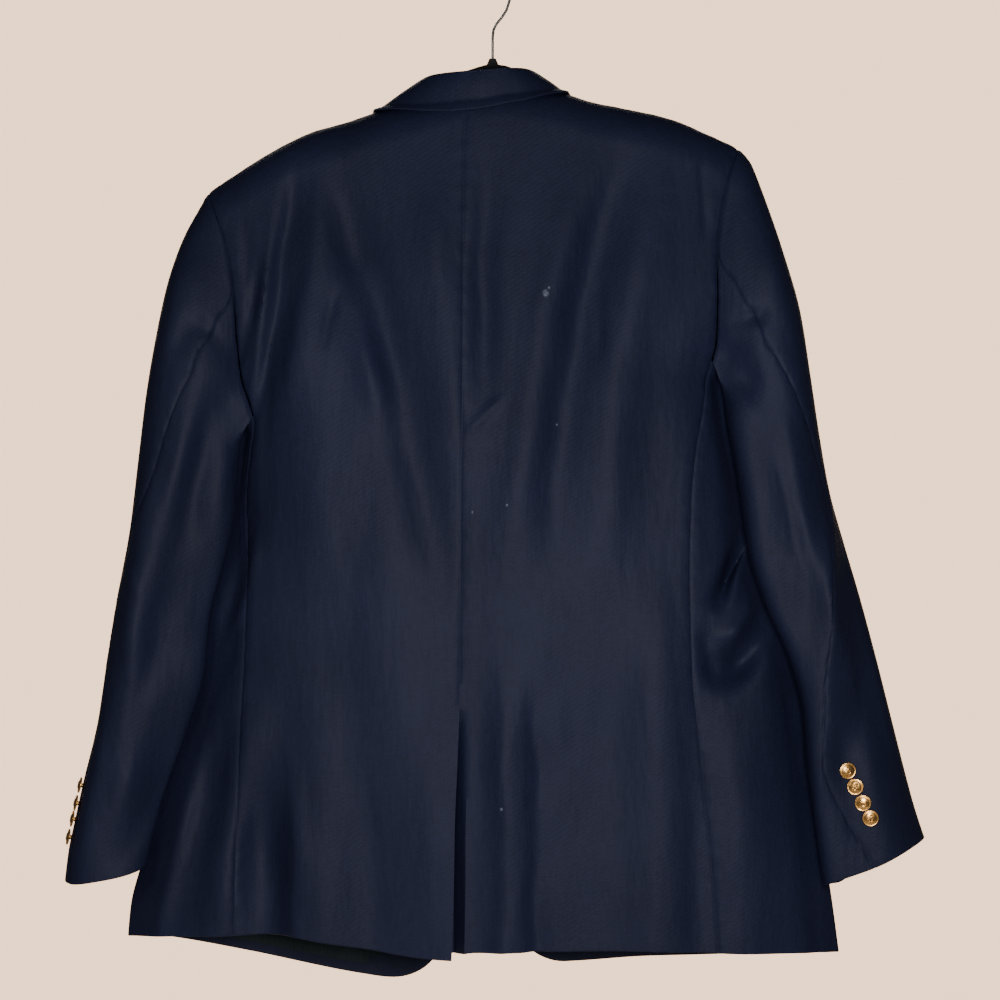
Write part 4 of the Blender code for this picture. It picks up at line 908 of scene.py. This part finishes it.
def sidePiece(name, spec):
    upright = sideSurface(spec)
    share, along = np.meshgrid(spacing(150, 2.2), spacing(500, 2.2))
    outside = leaned(upright(share, along))
    normals = gridNormals(outside, np.array([spec["hand"], 0, 0]))
    turned = edgeDistances(outside)["bottom"] < hemTurn
    piece = clothPiece(name, outside, normals, sewnEdges, cut["cloth"], (wool, satin), turned)
    declareCloth(piece, [spec["node"]])
    return upright


surfaceLeft = sidePiece("sideLeft", sideLeft)
surfaceRight = sidePiece("sideRight", sideRight)
print("body panels made")


# sleeves: rings from the armhole to the cuff; "seam" is where the elbow seam lies between
# the inner point, -1, and the outer point, 1
sleeveLeft = {
    "name": "sleeveLeft", "nodes": ("sleeve_left_upper", "sleeve_left_under"), "hand": -1,
    "back": backEdgeLeft, "front": frontEdgeLeft,
    "rings": table(
        "outerX outerDown innerX innerDown back front seam",
        (-262, 205, -233.4, 420.5, 37, 30, 0.57),
        (-271, 221, -236, 430, 43, 34, 0.40),
        (-284, 246, -238, 442, 48, 38, 0.11),
        (-298, 287, -239.5, 456, 51, 40, 0.06),
        (-309, 337, -240.5, 472, 52, 41, 0.21),
        (-318, 390, -241.5, 490, 52, 42, 0.38),
        (-325, 448, -245, 516, 52, 42, 0.56),
        (-334, 522, -254, 552, 51, 42, 0.92),
        (-345, 579, -265, 596, 50, 42, 0.98),
        (-354, 634, -270, 645, 49, 42, 0.98),
        (-362.5, 692, -284, 694, 48, 41, 0.97),
        (-374, 740, -299, 738, 47, 40, 0.93),
        (-383, 779, -312, 775, 46, 39, 0.88),
        (-389, 806, -319, 798, 45, 38, 0.86),
        (-392.5, 833, -323.5, 818, 44, 37, 0.84),
    ),
    "innerPower": 2.4, "tilt": 0.0, "thinned": 0.0, "cuffDip": 7.0,
    "upper": {"flat": (0.200, 0.640), "area": 0.080},
    "under": {"flat": (0.190, 0.520), "area": 0.070},
}
sleeveRight = {
    "name": "sleeveRight", "nodes": ("sleeve_right_upper", "sleeve_right_under"), "hand": 1,
    "back": backEdgeRight, "front": frontEdgeRight,
    "rings": table(
        "outerX outerDown innerX innerDown back front seam",
        (226, 163, 213.5, 372.5, 37, 30, 0.50),
        (236, 174, 216, 384, 43, 34, 0.26),
        (252, 214, 218, 398, 48, 38, 0.03),
        (268, 263, 220, 412, 51, 40, 0.01),
        (282, 312, 222.5, 428, 52, 41, 0.18),
        (292, 372, 226, 446, 52, 42, 0.48),
        (301, 428, 230, 470, 52, 42, 0.72),
        (311, 480, 236, 505, 52, 42, 0.82),
        (325, 528, 243, 540, 51, 42, 0.57),
        (340, 579, 258, 584, 50, 42, 0.20),
        (354, 632, 279, 632, 49, 42, -0.29),
        (366, 680, 291, 678, 48, 41, -0.62),
        (378, 727, 295.5, 728, 47, 40, -0.72),
        (389, 768, 302, 776, 46, 39, -0.50),
        (396, 790, 306, 806, 45, 38, -0.34),
        (399, 799, 311, 840, 44, 37, -0.20),
    ),
    "innerPower": 6.0, "tilt": 16.0, "thinned": 0.2, "cuffDip": -3.0,
    "upper": {"flat": (0.240, 0.670), "area": 0.106},
    "under": {"flat": (0.170, 0.560), "area": 0.070},
}
frontSeamAngle = radians(128)
cuffTurn = 16.0
cap = {"rows": 6, "lean": 0.42, "rise": 0.9}  # the rows at the sleeve's head that face up and out


def armholeLoop(spec, floorSurface, count=90):
    # the armhole before it leans, by angle: the tip 0, down the back, the floor 180, up the front
    hand = spec["hand"]
    halves = []
    for side, line, end in ((-1, spec["back"], 0.0), (1, spec["front"], 1.0)):
        low = floorSurface(np.array(end), np.array(0.0))
        level = np.linspace(0, 1, count) * float(levelOf(-low[2] - crest(low[0])))
        x = levelAlong(line, level) + cut["armholeGap"] * hand
        x[0] = line["x"][0] + cut["armholeGap"] * hand
        downLine = bodyUpright(x, level, side)
        share = np.linspace(0, 0.5, 20)
        share = share if side < 0 else 1 - share
        floor = floorSurface(share, share * 0)
        slope = np.cross(floorSurface(share + 0.002, share * 0) - floorSurface(share - 0.002, share * 0),
                         floorSurface(share, share * 0 + 0.002) - floorSurface(share, share * 0 - 0.002))
        floor = floor - unit(slope) * hand * cut["armpitGap"]
        line3 = np.concatenate([downLine[:-1], floor])
        length = np.concatenate([[0], np.cumsum(np.linalg.norm(np.diff(line3, axis=0), axis=1))])
        halves.append((length / length[-1], line3))

    def loop(angle):
        turn = np.mod(np.asarray(angle, float), 2 * pi)
        behind = turn <= pi
        share = np.where(behind, turn, 2 * pi - turn) / pi
        share = share + 0.12 * np.sin(pi * share)
        back, front = (np.stack([np.interp(share, at, line3[:, k]) for k in range(3)], axis=-1)
                       for at, line3 in halves)
        return np.where(behind[..., None], back, front)

    return loop


def sleeveSurface(spec, loop):
    # by ring number and angle: outer point 0, back 90, inner point 180 degrees
    rings = spec["rings"]
    numbers = np.arange(len(rings["back"]), dtype=float)
    last = numbers[-1]

    def column(name, ring):
        return through(numbers, rings[name], ring)

    def plain(ring, angle):
        outer = np.stack([column("outerX", ring), ring * 0, -column("outerDown", ring)], -1)
        inner = np.stack([column("innerX", ring), ring * 0, -column("innerDown", ring)], -1)
        c = np.sign(np.cos(angle)) * np.abs(np.cos(angle)) ** (2 / cut["sleevePower"])
        s = np.sign(np.sin(angle)) * np.abs(np.sin(angle)) ** (2 / cut["sleevePower"])
        point = (outer + inner) / 2 + (outer - inner) / 2 * c[..., None]
        # the back is flatter on its inner side, and the outer edge lies further to the front
        flatter = cut["sleevePower"] + (spec["innerPower"] - cut["sleevePower"]) * softened((ring - 1.5) / 4)
        s = np.where((s > 0) & (c < 0), (1 - np.abs(c) ** flatter) ** (1 / flatter), s)
        tilt = softened(c) * softened((ring - 4) / 4)
        depth = np.where(s > 0, column("back", ring), column("front", ring) * (1 - spec["thinned"] * tilt))
        folds = foldHeight(sleeveFolds, point[..., 0], -point[..., 2]) * np.clip(s, 0, 1) * softened(ring / 2)
        point[..., 1] = -depth * s - folds + spec["tilt"] * tilt
        point[..., 2] -= spec["cuffDip"] * s * softened((ring - last + 3) / 3)
        return point

    def surface(ring, angle):
        ring, angle = np.broadcast_arrays(np.asarray(ring, float), np.asarray(angle, float))
        fade = 1 - softened(ring / 3.0)
        return leaned(plain(ring, angle) + (loop(angle) - plain(ring * 0, angle)) * fade[..., None])

    return surface


def seamAngle(rings, ring):
    share = np.clip(through(np.arange(len(rings["seam"]), dtype=float), rings["seam"], ring), -1, 1)
    return np.arccos(np.sign(share) * np.abs(share) ** (cut["sleevePower"] / 2))


def sleevePieces(spec, floorSurface):
    rings, hand = spec["rings"], spec["hand"]
    surface = sleeveSurface(spec, armholeLoop(spec, floorSurface))
    lastRing = len(rings["back"]) - 1
    ring = spacing(620)[:, None] * lastRing
    elbow = seamAngle(rings, ring)
    spans = {"upper": (-frontSeamAngle, elbow), "under": (elbow, 2 * pi - frontSeamAngle)}
    slope = unit(np.array([cap["lean"] * hand, 0, cap["rise"]]))
    turn = cut["sleeveSeamTurn"]
    for (part, (start, end)), nodeName in zip(spans.items(), spec["nodes"]):
        angle = (start + turn) + (end - start - 2 * turn) * spacing(160)[None, :]
        outside = surface(ring + angle * 0, angle)
        middle = outside.shape[1] // 2
        normals = gridNormals(outside, outside[:, middle:middle + 1] - outside.mean(axis=1, keepdims=True))
        upright = np.clip((np.cos(angle[0]) + 0.1) / 0.9, 0, 1)[:, None]
        for row in range(cap["rows"]):
            mix = upright * (1 - row / cap["rows"])
            normals[row] = unit(normals[row] * (1 - mix) + slope * mix)
        turned = edgeDistances(outside)["bottom"] < cuffTurn
        name = spec["name"] + part.capitalize()
        piece = clothPiece(name, outside, normals, sewnEdges, cut["cloth"], (wool, satin), turned)
        declareCloth(piece, [nodeName])
    return surface


leftSleeve = sleevePieces(sleeveLeft, surfaceLeft)
rightSleeve = sleevePieces(sleeveRight, surfaceRight)
print("sleeves made")


# the collar, from the left front round the back to the right front: its roll line, and its outer
# edge as x with the drop below the shoulder line, which is negative on the fronts
collar = {
    "line": table(
        "station rollX rollY rollDown edgeX edgeDrop",
        (-4.0, -75, 39, 178, -119, -50),
        (-3.0, -72, 24, 142, -117, -28),
        (-2.0, -67, 8, 110, -113, -4),
        (-1.5, -64, -3, 102, -109, 1),
        (-1.0, -56, -18, 100, -92, 7),
        (-0.5, -38, -31, 99, -60, 18.5),
        (0.0, -15, -36.5, 98, -17, 28.5),
        (0.5, 10, -33, 95.5, 25, 21),
        (1.0, 29, -20, 94, 50, 10),
        (1.5, 38, -4, 95, 68, 1.5),
        (2.0, 41, 8, 102, 76, -4),
        (3.0, 46, 24, 132, 82, -28),
        (4.0, 49, 39, 166, 88, -52),
    ),
    "profile": table(
        "share crown rise",
        (-0.05, -2.2, 0.0),
        (0.0, 0.0, 1.6),
        (0.08, 2.2, 1.0),
        (0.3, 3.6, 0.0),
        (0.62, 2.2, 0.0),
        (1.0, 0.0, 0.0),
    ),
    "cloth": 1.8,
    "flat": (0.430, 0.075), "area": 0.0145,
    "standFlat": (0.240, 0.030), "standArea": 0.0033,
}


def clearOfBody(points, lift):
    # moves points out until they lie this far above the body
    x, y, z = points[..., 0], points[..., 1], points[..., 2]
    side = np.where(y < 0, -1, 1)
    base = -crest(x) - cut["shoulderRound"]
    deepBack = -bodyPoint(x, np.full(x.shape, 1.0), -1)[..., 1]
    deepFront = bodyPoint(x, np.full(x.shape, 1.0), 1)[..., 1]
    deep = np.where(side < 0, deepBack, deepFront) + lift
    high = cut["shoulderRound"] + lift
    above = np.maximum(z - base, 0)
    size = np.sqrt((y / deep) ** 2 + (above / high) ** 2)
    grow = np.where(size < 1, 1 / np.maximum(size, 1e-6), 1)
    moved = points.copy()
    moved[..., 1] = np.where(z > base, y * grow, side * np.maximum(np.abs(y), deep))
    moved[..., 2] = np.where(z > base, base + above * grow, z)
    return moved


def collarRoll(station):
    line = collar["line"]
    x, y, down = (read(line, "roll" + way, station) for way in ("X", "Y", "Down"))
    return np.stack([x, y, -down], axis=-1)


def collarPieces():
    line, profile = collar["line"], collar["profile"]
    station = -4 + 8 * spacing(430, 3.5)
    share = -0.05 + 1.05 * spacing(50, 2.2)
    roll = collarRoll(station)
    edgeX = read(line, "edgeX", station)
    drop = read(line, "edgeDrop", station)
    edge = bodyPoint(edgeX, levelOf(np.abs(drop)) * np.sign(drop), -1)
    outward = edge - roll
    outward[:, 2] = 0
    outward = unit(outward)
    rows = []
    for at in share:
        blend = max(at, 0)
        row = roll * (1 - blend) + edge * blend + outward * float(read(profile, "crown", at))
        row[:, 2] += float(read(profile, "rise", at))
        rows.append(clearOfBody(row, cut["cloth"] + cut["layGap"] + 1.0))
    outside = np.stack(rows)
    normals = unit(np.cross(np.gradient(outside, axis=1), np.gradient(outside, axis=0)))
    if np.mean(normals[len(share) // 2, :, 2]) < 0:
        normals = -normals
    edges = {"near": "fold", "far": "fold", "bottom": "fold"}
    fall = clothPiece("collarFall", outside, normals, edges, collar["cloth"], (wool, wool))
    declareCloth(fall, ["collar"])

    station = -2.9 + 5.8 * spacing(260, 3.5)
    roll = collarRoll(station)
    footX = np.where(
        np.abs(station) < 1.5,
        through(np.array([-1.5, 0, 1.5]), np.array([-79.0, -15.0, 53.0]), station),
        np.where(station < 0, roll[:, 0] - 8.5, roll[:, 0] + 8.5),
    )
    behind = np.abs(station) < 1.6
    footDown = np.where(behind, read(neckSeam, "down", footX), -roll[:, 2] + 12)
    onBack = bodyPoint(footX, levelOf(footDown - crest(footX)), -1)[:, 1]
    footY = np.where(behind, -np.abs(onBack), roll[:, 1] + 4)
    foot = np.stack([footX, footY, -footDown], axis=-1)
    rows = [roll * (1 - at) + foot * at for at in np.linspace(0.12, 0.86, 9)]
    outside = np.stack(rows)
    outside[:2, :, 2] -= 1.2
    normals = unit(np.cross(np.gradient(outside, axis=1), np.gradient(outside, axis=0)))
    if np.mean(normals[4, :, 1] * np.sign(outside[4, :, 1])) < 0:
        normals = -normals
    inside = outside - normals * (cut["cloth"] + 0.5)
    stand = shell("collarStand", inside + normals * collar["cloth"], inside, wool, wool)
    print("collarStand area", round(clothArea(outside), 4))
    declareCloth(stand, ["collar_stand"])


collarPieces()

# what lies on the fronts: lapels, pocket flaps and the breast welt
lapelLeft = {
    "node": "lapel_left", "hand": -1, "opening": openingLeft, "end": 496, "flat": (0.085, 0.335), "area": 0.017,
    "edge": table("down x", (182, -106), (206, -147), (250, -142), (330, -124), (420, -92), (497, -54)),
}
lapelRight = {
    "node": "lapel_right", "hand": 1, "opening": openingRight, "end": 476, "flat": (0.085, 0.335), "area": 0.017,
    "edge": table("down x", (170, 80), (194, 121), (240, 116), (320, 97), (400, 65), (477, 29)),
}
strips = {
    "pocketFlapLeft": {"node": "pocket_flap_left", "across": (-236, -96), "down": 655, "height": 52, "slope": 6,
                       "thick": 1.8, "corner": 14, "flat": (0.150, 0.056)},
    "pocketFlapRight": {"node": "pocket_flap_right", "across": (74, 222), "down": 655, "height": 52, "slope": -6,
                        "thick": 1.8, "corner": 14, "flat": (0.158, 0.056)},
    "breastWelt": {"node": "breast_welt", "across": (-206, -134), "down": 318, "height": 22, "slope": 9,
                   "thick": 1.4, "corner": 0, "flat": (0.078, 0.024)},
}


def onFront(name, x, down, lift, thick, edges, nodeName):
    base = bodyPoint(x, levelOf(down - crest(x)), 1)
    normals = gridNormals(base, np.array([0, 1, 0.2]))
    outside = base + normals * (lift + thick)
    offOuter, _ = finishEdges(outside, edges, thick)
    piece = shell(name, outside - normals * offOuter[..., None], base + normals * lift, wool, wool)
    print(name, "area", round(clothArea(outside), 4))
    declareCloth(piece, [nodeName])


def lapelPiece(name, spec):
    outline, hand = spec["edge"], spec["hand"]
    top, corner = outline["down"][0], outline["down"][1]
    down = spacing(spec["end"] - top)[:, None] * (spec["end"] - top) + top
    share = spacing(60, 2.5)[None, :]
    roll = read(spec["opening"], "x", down) - hand * 0.6
    outer = read(outline, "x", np.maximum(down, corner))
    x = roll + (outer - roll) * share
    slope = (corner - top) * softened((spec["end"] - down) / (spec["end"] - top))
    lapelDown = down + slope * share * np.clip((corner + 90 - down) / 90, 0, 1)
    lift = cut["layGap"] + 0.2
    onFront(name, x, lapelDown, lift, cut["cloth"], foldedEdges, spec["node"])


lapelPiece("lapelLeft", lapelLeft)
lapelPiece("lapelRight", lapelRight)
for name, spec in strips.items():
    across, height = spec["across"], spec["height"]
    share, along = spacing(across[1] - across[0])[None, :], spacing(height, 2.5)[:, None]
    x = across[0] + (across[1] - across[0]) * share + 0 * along
    fromSide = np.minimum(x - across[0], across[1] - x)
    cutOff = 0
    if spec["corner"]:
        cutOff = spec["corner"] * (1 - np.sqrt(1 - np.clip(1 - fromSide / spec["corner"], 0, 1) ** 2))
    down = spec["down"] + spec["slope"] * (share - 0.5) + (height - cutOff) * along
    edges = {**foldedEdges, "top": "seam"} if spec["corner"] else foldedEdges
    onFront(name, x, down, cut["layGap"], spec["thick"], edges, spec["node"])

lining = {
    "innerX": -116, "outerX": -262, "top": 862, "aboveHem": 9, "under": 2.8, "thick": 1.0,
    "flat": (0.150, 0.058), "area": 0.0065,
}


def liningPiece():
    share, along = spacing(146)[None, :], spacing(45, 2.0)[:, None]
    x = lining["innerX"] + (lining["outerX"] - lining["innerX"]) * share + 0 * along
    foot = read(hemFrontLeft, "down", x) - lining["aboveHem"]
    down = lining["top"] + (foot - lining["top"]) * along
    base = bodyPoint(x, levelOf(down - crest(x)), 1)
    normals = gridNormals(base, np.array([0, 1, 0.2]))
    ripple = 0.35 * np.sin(x * 0.21) + 0.25 * np.sin(x * 0.083 + down * 0.11)
    outside = base - normals * lining["under"]
    inside = base - normals * (lining["under"] + lining["thick"] + 0.4 + ripple * softened(along * 3))[..., None]
    piece = shell("liningLeft", outside, inside, satin, satin)
    print("liningLeft area", round(clothArea(outside), 4))
    declareCloth(piece, ["lining_left"])


liningPiece()
print("collar, lapels, pockets and lining made")


# domed gold buttons on shanks, with a roped rim and a plain anchor
button = {
    "cuff": 15.0, "front": 20.5, "stand": 0.3, "sides": 72,
    "profile": table(
        "share height",
        (0.0, 0.0), (0.24, 0.0), (0.26, 0.4), (0.26, 1.9), (0.34, 2.05), (0.80, 2.15), (0.93, 2.3), (0.985, 2.6),
        (1.0, 2.95), (0.99, 3.3), (0.955, 3.55), (0.90, 3.62), (0.86, 3.5), (0.835, 3.42), (0.80, 3.5),
    ),
    "dome": 4.75, "relief": 0.34, "rope": 44,
}


def anchorMask(u, v):
    # 1 on the anchor, 0 off it; u and v run from -1 to 1 over the face
    def stroke(ax, ay, bx, by, width):
        runX, runY = bx - ax, by - ay
        along = np.clip(((u - ax) * runX + (v - ay) * runY) / (runX**2 + runY**2), 0, 1)
        return softened((width - np.hypot(u - ax - along * runX, v - ay - along * runY)) / 0.05 + 0.5)

    shank = stroke(0, -0.50, 0, 0.34, 0.055)
    stock = stroke(-0.22, 0.22, 0.22, 0.22, 0.05)
    radius = np.hypot(u, v - 0.44)
    ring = softened((0.045 - np.abs(radius - 0.11)) / 0.05 + 0.5)
    turn = np.hypot(u, v + 0.06)
    arms = softened((0.06 - np.abs(turn - 0.46)) / 0.05 + 0.5) * (v < -0.16)
    flukes = [stroke(0.44 * way, -0.20, 0.30 * way, -0.16, 0.06) for way in (-1, 1)]
    return np.maximum.reduce([shank, stock, ring, arms, *flukes])


def buttonPiece(name, nodeName, seat, normal, diameter, turn=0.0):
    axis = unit(np.asarray(normal))
    up = unit(np.array([0, 0, 1.0]) - axis * axis[2])
    side = np.cross(up, axis)
    size = diameter / button["cuff"]
    profile = button["profile"]
    sides = button["sides"]
    angles = 2 * pi * np.arange(sides) / sides
    heights = zip(profile["share"][1:], profile["height"][1:])
    rings = [(share * diameter / 2, height * size) for share, height in heights]
    face = np.linspace(0.775, 0.03, 22)
    points = [np.zeros(3)]
    for radius, height in rings:
        onRope = radius > 0.88 * diameter / 2 and height > 2.5 * size
        for angle, wave in zip(angles, 1.0 + onRope * 0.012 * np.sin(angles * button["rope"])):
            points.append([radius * wave * cos(angle), radius * wave * sin(angle), height])
    for share in face:
        dome = 3.5 + (button["dome"] - 3.5) * (1 - (share / 0.8) ** 2)
        u, v = share / 0.78 * np.cos(angles), share / 0.78 * np.sin(angles)
        raised = button["relief"] * anchorMask(u, v) - 0.05
        for angle, lift in zip(angles, raised):
            out = share * diameter / 2
            points.append([out * cos(angle), out * sin(angle), (dome + lift) * size])
    points.append([0, 0, (button["dome"] + button["relief"] - 0.05) * size])
    points = np.array(points)
    c, s = cos(turn), sin(turn)
    across, upwards = points[:, :1] * c - points[:, 1:2] * s, points[:, :1] * s + points[:, 1:2] * c
    placed = np.asarray(seat) + axis * button["stand"] + across * side + upwards * up + points[:, 2:] * axis
    ringCount = len(rings) + len(face)
    faces = []
    for k in range(sides):
        nextK = (k + 1) % sides
        faces.append((0, 1 + nextK, 1 + k))
        for ring in range(ringCount - 1):
            low, high = 1 + ring * sides, 1 + (ring + 1) * sides
            faces.append((low + k, low + nextK, high + nextK, high + k))
        top = 1 + (ringCount - 1) * sides
        faces.append((top + k, top + nextK, len(placed) - 1))
    declare(meshObject(name, placed, faces, [gold], sharp=50), [nodeName])


def surfaceNormal(surface, ring, angle, hand):
    along = surface(ring + 0.3, angle) - surface(ring - 0.3, angle)
    across = surface(ring, angle + 0.12) - surface(ring, angle - 0.12)
    return unit(np.cross(along, across)) * -hand


def ringAt(rings, x, down):
    # the ring and angle on a sleeve's back half that lie at x and this far down
    numbers = np.arange(len(rings["back"]), dtype=float)
    best = None
    for ring in np.linspace(8, numbers[-1], 400):
        outer, inner = (np.array([through(numbers, rings[end + way], ring) for way in ("X", "Down")])
                        for end in ("outer", "inner"))
        half = (outer - inner) / 2
        offset = np.array([x, down]) - (outer + inner) / 2
        share = float(np.dot(offset, half) / np.dot(half, half))
        miss = float(np.linalg.norm(offset - share * half))
        if best is None or miss < best[0]:
            best = (miss, ring, share)
    share = np.clip(best[2], -1, 1)
    return best[1], float(np.arccos(np.sign(share) * np.abs(share) ** (cut["sleevePower"] / 2)))


cuffRowRight = {"first": (324, 732), "last": (342, 775), "turns": (0.2, -0.5, 0.9, -0.15)}
cuffRowLeft = {"first": 747, "last": 793, "angle": radians(22), "turns": (0.3, -0.2, 0.5, 0.1)}
frontRow = {"inset": 19, "down": (497, 601)}


def buttonRows():
    rings = sleeveLeft["rings"]
    numbers = np.arange(len(rings["back"]), dtype=float)
    for k, down in enumerate(np.linspace(cuffRowLeft["first"], cuffRowLeft["last"], 4)):
        ring = np.array(float(np.interp(down, rings["outerDown"], numbers)))
        angle = np.array(cuffRowLeft["angle"])
        normal = surfaceNormal(leftSleeve, ring, angle, -1)
        buttonPiece(f"cuffButtonLeft{k + 1}", f"cuff_button_left_{k + 1}", leftSleeve(ring, angle), normal,
                    button["cuff"], cuffRowLeft["turns"][k])
    first, last = np.array(cuffRowRight["first"], float), np.array(cuffRowRight["last"], float)
    for k in range(4):
        seat = first + (last - first) * k / 3
        ring, angle = (np.array(value) for value in ringAt(sleeveRight["rings"], *seat))
        normal = surfaceNormal(rightSleeve, ring, angle, 1)
        buttonPiece(f"cuffButtonRight{k + 1}", f"cuff_button_right_{k + 1}", rightSleeve(ring, angle), normal,
                    button["cuff"], cuffRowRight["turns"][k])
    for k, down in enumerate(frontRow["down"]):
        x = float(read(openingRight, "x", down)) + frontRow["inset"]
        level = float(levelOf(down - crest(x)))
        nearX, nearLevel = np.meshgrid([x - 1, x + 1], [level - 0.02, level + 0.02])
        normal = gridNormals(bodyPoint(nearX, nearLevel, 1), np.array([0, 1, 0]))[0, 0]
        seat = bodyPoint(x, level, 1)
        buttonPiece(f"frontButton{k + 1}", f"front_button_{k + 1}", seat, normal, button["front"])


# worked buttonholes on the left front, level with the buttons
buttonhole = {"inset": 14, "long": 22.0, "wide": 3.0, "thread": 0.8, "stitches": 96, "sides": 8}


def buttonholePiece(name, down):
    centreX = float(read(openingLeft, "x", down)) - buttonhole["inset"] - buttonhole["long"] / 2
    rows, sides = buttonhole["stitches"], buttonhole["sides"]
    turn = 2 * pi * np.arange(rows) / rows
    across = buttonhole["long"] / 2 * np.sign(np.cos(turn)) * np.abs(np.cos(turn)) ** 0.5
    upwards = buttonhole["wide"] / 2 * np.sign(np.sin(turn)) * np.abs(np.sin(turn)) ** 0.5

    def seat(offX, offDown):
        x = centreX + offX
        return bodyPoint(x, levelOf(down + offDown - crest(x)), 1)

    line = seat(across, upwards)
    outwards = unit(np.cross(seat(across, upwards + 0.5) - line, seat(across + 0.5, upwards) - line))
    outwards = outwards * np.sign(outwards[:, 1:2])
    sideways = unit(np.cross(np.roll(line, -1, axis=0) - np.roll(line, 1, axis=0), outwards))
    points = []
    for k in range(sides):
        angle = 2 * pi * k / sides
        thick = buttonhole["thread"] * (1 + 0.18 * (np.arange(rows) % 2))[:, None]
        points.append(line + outwards * (0.3 + thick * sin(angle)) + sideways * thick * cos(angle))
    points = np.stack(points, axis=1).reshape(-1, 3)
    faces = []
    for row in range(rows):
        after = (row + 1) % rows
        for k in range(sides):
            beside = (k + 1) % sides
            faces.append((row * sides + k, row * sides + beside, after * sides + beside, after * sides + k))
    piece = meshObject(name, points, faces, [navyThread])
    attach(piece, "root")


buttonRows()
for k, down in enumerate(frontRow["down"]):
    buttonholePiece(f"buttonhole{k + 1}", down)
print("buttons and buttonholes made")

# the hook's wire, and the hanger's finish
hook = {
    "radius": 18.4, "wire": 2.7, "start": -30, "end": 196,
    "stem": ((0.0, 80.7), (0.0, 74), (0.0, 66), (0.1, 60), (0.8, 54.5), (3.6, 48.8), (8.2, 43.2), (12.6, 36.6)),
}


def hookPiece():
    centre = hook["radius"] - hook["wire"] / 2
    turns = np.radians(np.linspace(hook["start"], hook["end"], 60))
    ring = [(hook["radius"] * cos(turn), centre - hook["radius"] * sin(turn)) for turn in turns]
    route = [*hook["stem"], *ring]
    curve = bpy.data.curves.new("wireHook", "CURVE")
    curve.dimensions = "3D"
    curve.bevel_depth = hook["wire"] / 2 * mm
    curve.bevel_resolution = 5
    curve.use_fill_caps = True
    spline = curve.splines.new("POLY")
    spline.points.add(len(route) - 1)
    for point, (x, down) in zip(spline.points, route):
        point.co = (x * mm, 0, -down * mm, 1)
    curve.materials.append(wire)
    piece = bpy.data.objects.new("wireHook", curve)
    bpy.context.scene.collection.objects.link(piece)
    declare(piece, ["hook"])


hookPiece()
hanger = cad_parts["hanger"]
if not hanger.material_slots:
    hanger.data.materials.append(flock)
for place in hanger.material_slots:
    place.material = flock


# a pale floor well below, a pale world, and a soft light level with the blazer's middle
stage = {
    "floorDown": 1.45, "floorSize": 3.4,
    "wallFar": (2.6, 1.74, 1.12), "wallNear": (0.075, 0.075, 0.08), "brightFrom": 0.88, "brightTo": 0.965,
    "lightColour": (1.0, 0.98, 0.95), "aim": (0, 0, -0.5),
    "key": {"place": (0.14, -1.40, -0.50), "size": 0.45, "power": 18.5},
    "side": {"place": (-1.6, -1.3, -0.1), "size": 0.8, "power": 4.0},
    "front": {"place": (0.0, 2.8, 0.3), "size": 2.4, "power": 75},
}


def areaLight(name, spec):
    light = bpy.data.lights.new(name, "AREA")
    light.energy = spec["power"]
    light.size = spec["size"]
    light.color = stage["lightColour"]
    made = bpy.data.objects.new(name, light)
    made.location = spec["place"]
    away = np.array(spec["place"]) - np.array(stage["aim"])
    flat = float(np.hypot(away[0], away[1]))
    turn = float(np.arctan2(away[1], away[0])) + pi / 2
    made.rotation_euler = (float(np.arctan2(flat, away[2])), 0, turn)
    bpy.context.scene.collection.objects.link(made)


for lightName in ("key", "side", "front"):
    areaLight(lightName, stage[lightName])

# the world is bright beyond the blazer and dimmer towards the side that the back faces
world = bpy.data.worlds.new("paleWorld")
world.use_nodes = True
worldTree = world.node_tree
direction = node(worldTree, "ShaderNodeSeparateXYZ")
worldTree.links.new(worldTree.nodes.new("ShaderNodeTexCoord").outputs["Generated"], direction.inputs[0])
beyond = node(worldTree, "ShaderNodeMapRange", interpolation_type="SMOOTHSTEP")
beyond.inputs["From Min"].default_value = stage["brightFrom"]
beyond.inputs["From Max"].default_value = stage["brightTo"]
worldTree.links.new(direction.outputs["Y"], beyond.inputs["Value"])
worldMix = node(worldTree, "ShaderNodeMix", data_type="RGBA")
worldTree.links.new(beyond.outputs["Result"], worldMix.inputs["Factor"])
worldMix.inputs["A"].default_value = (*stage["wallNear"], 1)
worldMix.inputs["B"].default_value = (*stage["wallFar"], 1)
worldTree.links.new(worldMix.outputs["Result"], worldTree.nodes["Background"].inputs["Color"])
bpy.context.scene.world = world

floorFinish, floorTree, floorShader = startFinish("paleFloor", (0.74, 0.69, 0.61), 0.9)
floorNoise = noiseAt(floorTree, objectPlace(floorTree), 3.0)
floorColour = ramp(floorTree, floorNoise, (0.3, (0.70, 0.65, 0.57)), (0.7, (0.78, 0.73, 0.65)))
floorTree.links.new(floorColour, floorShader.inputs["Base Color"])
half, depth = stage["floorSize"] / 2 / mm, -stage["floorDown"] / mm
floorPoints = [(-half, -half, depth), (half, -half, depth), (half, half, depth), (-half, half, depth)]
floor = meshObject("paleFloor", floorPoints, [(0, 1, 2, 3)], [floorFinish])
print("stage and light set")

bpy.context.view_layer.update()
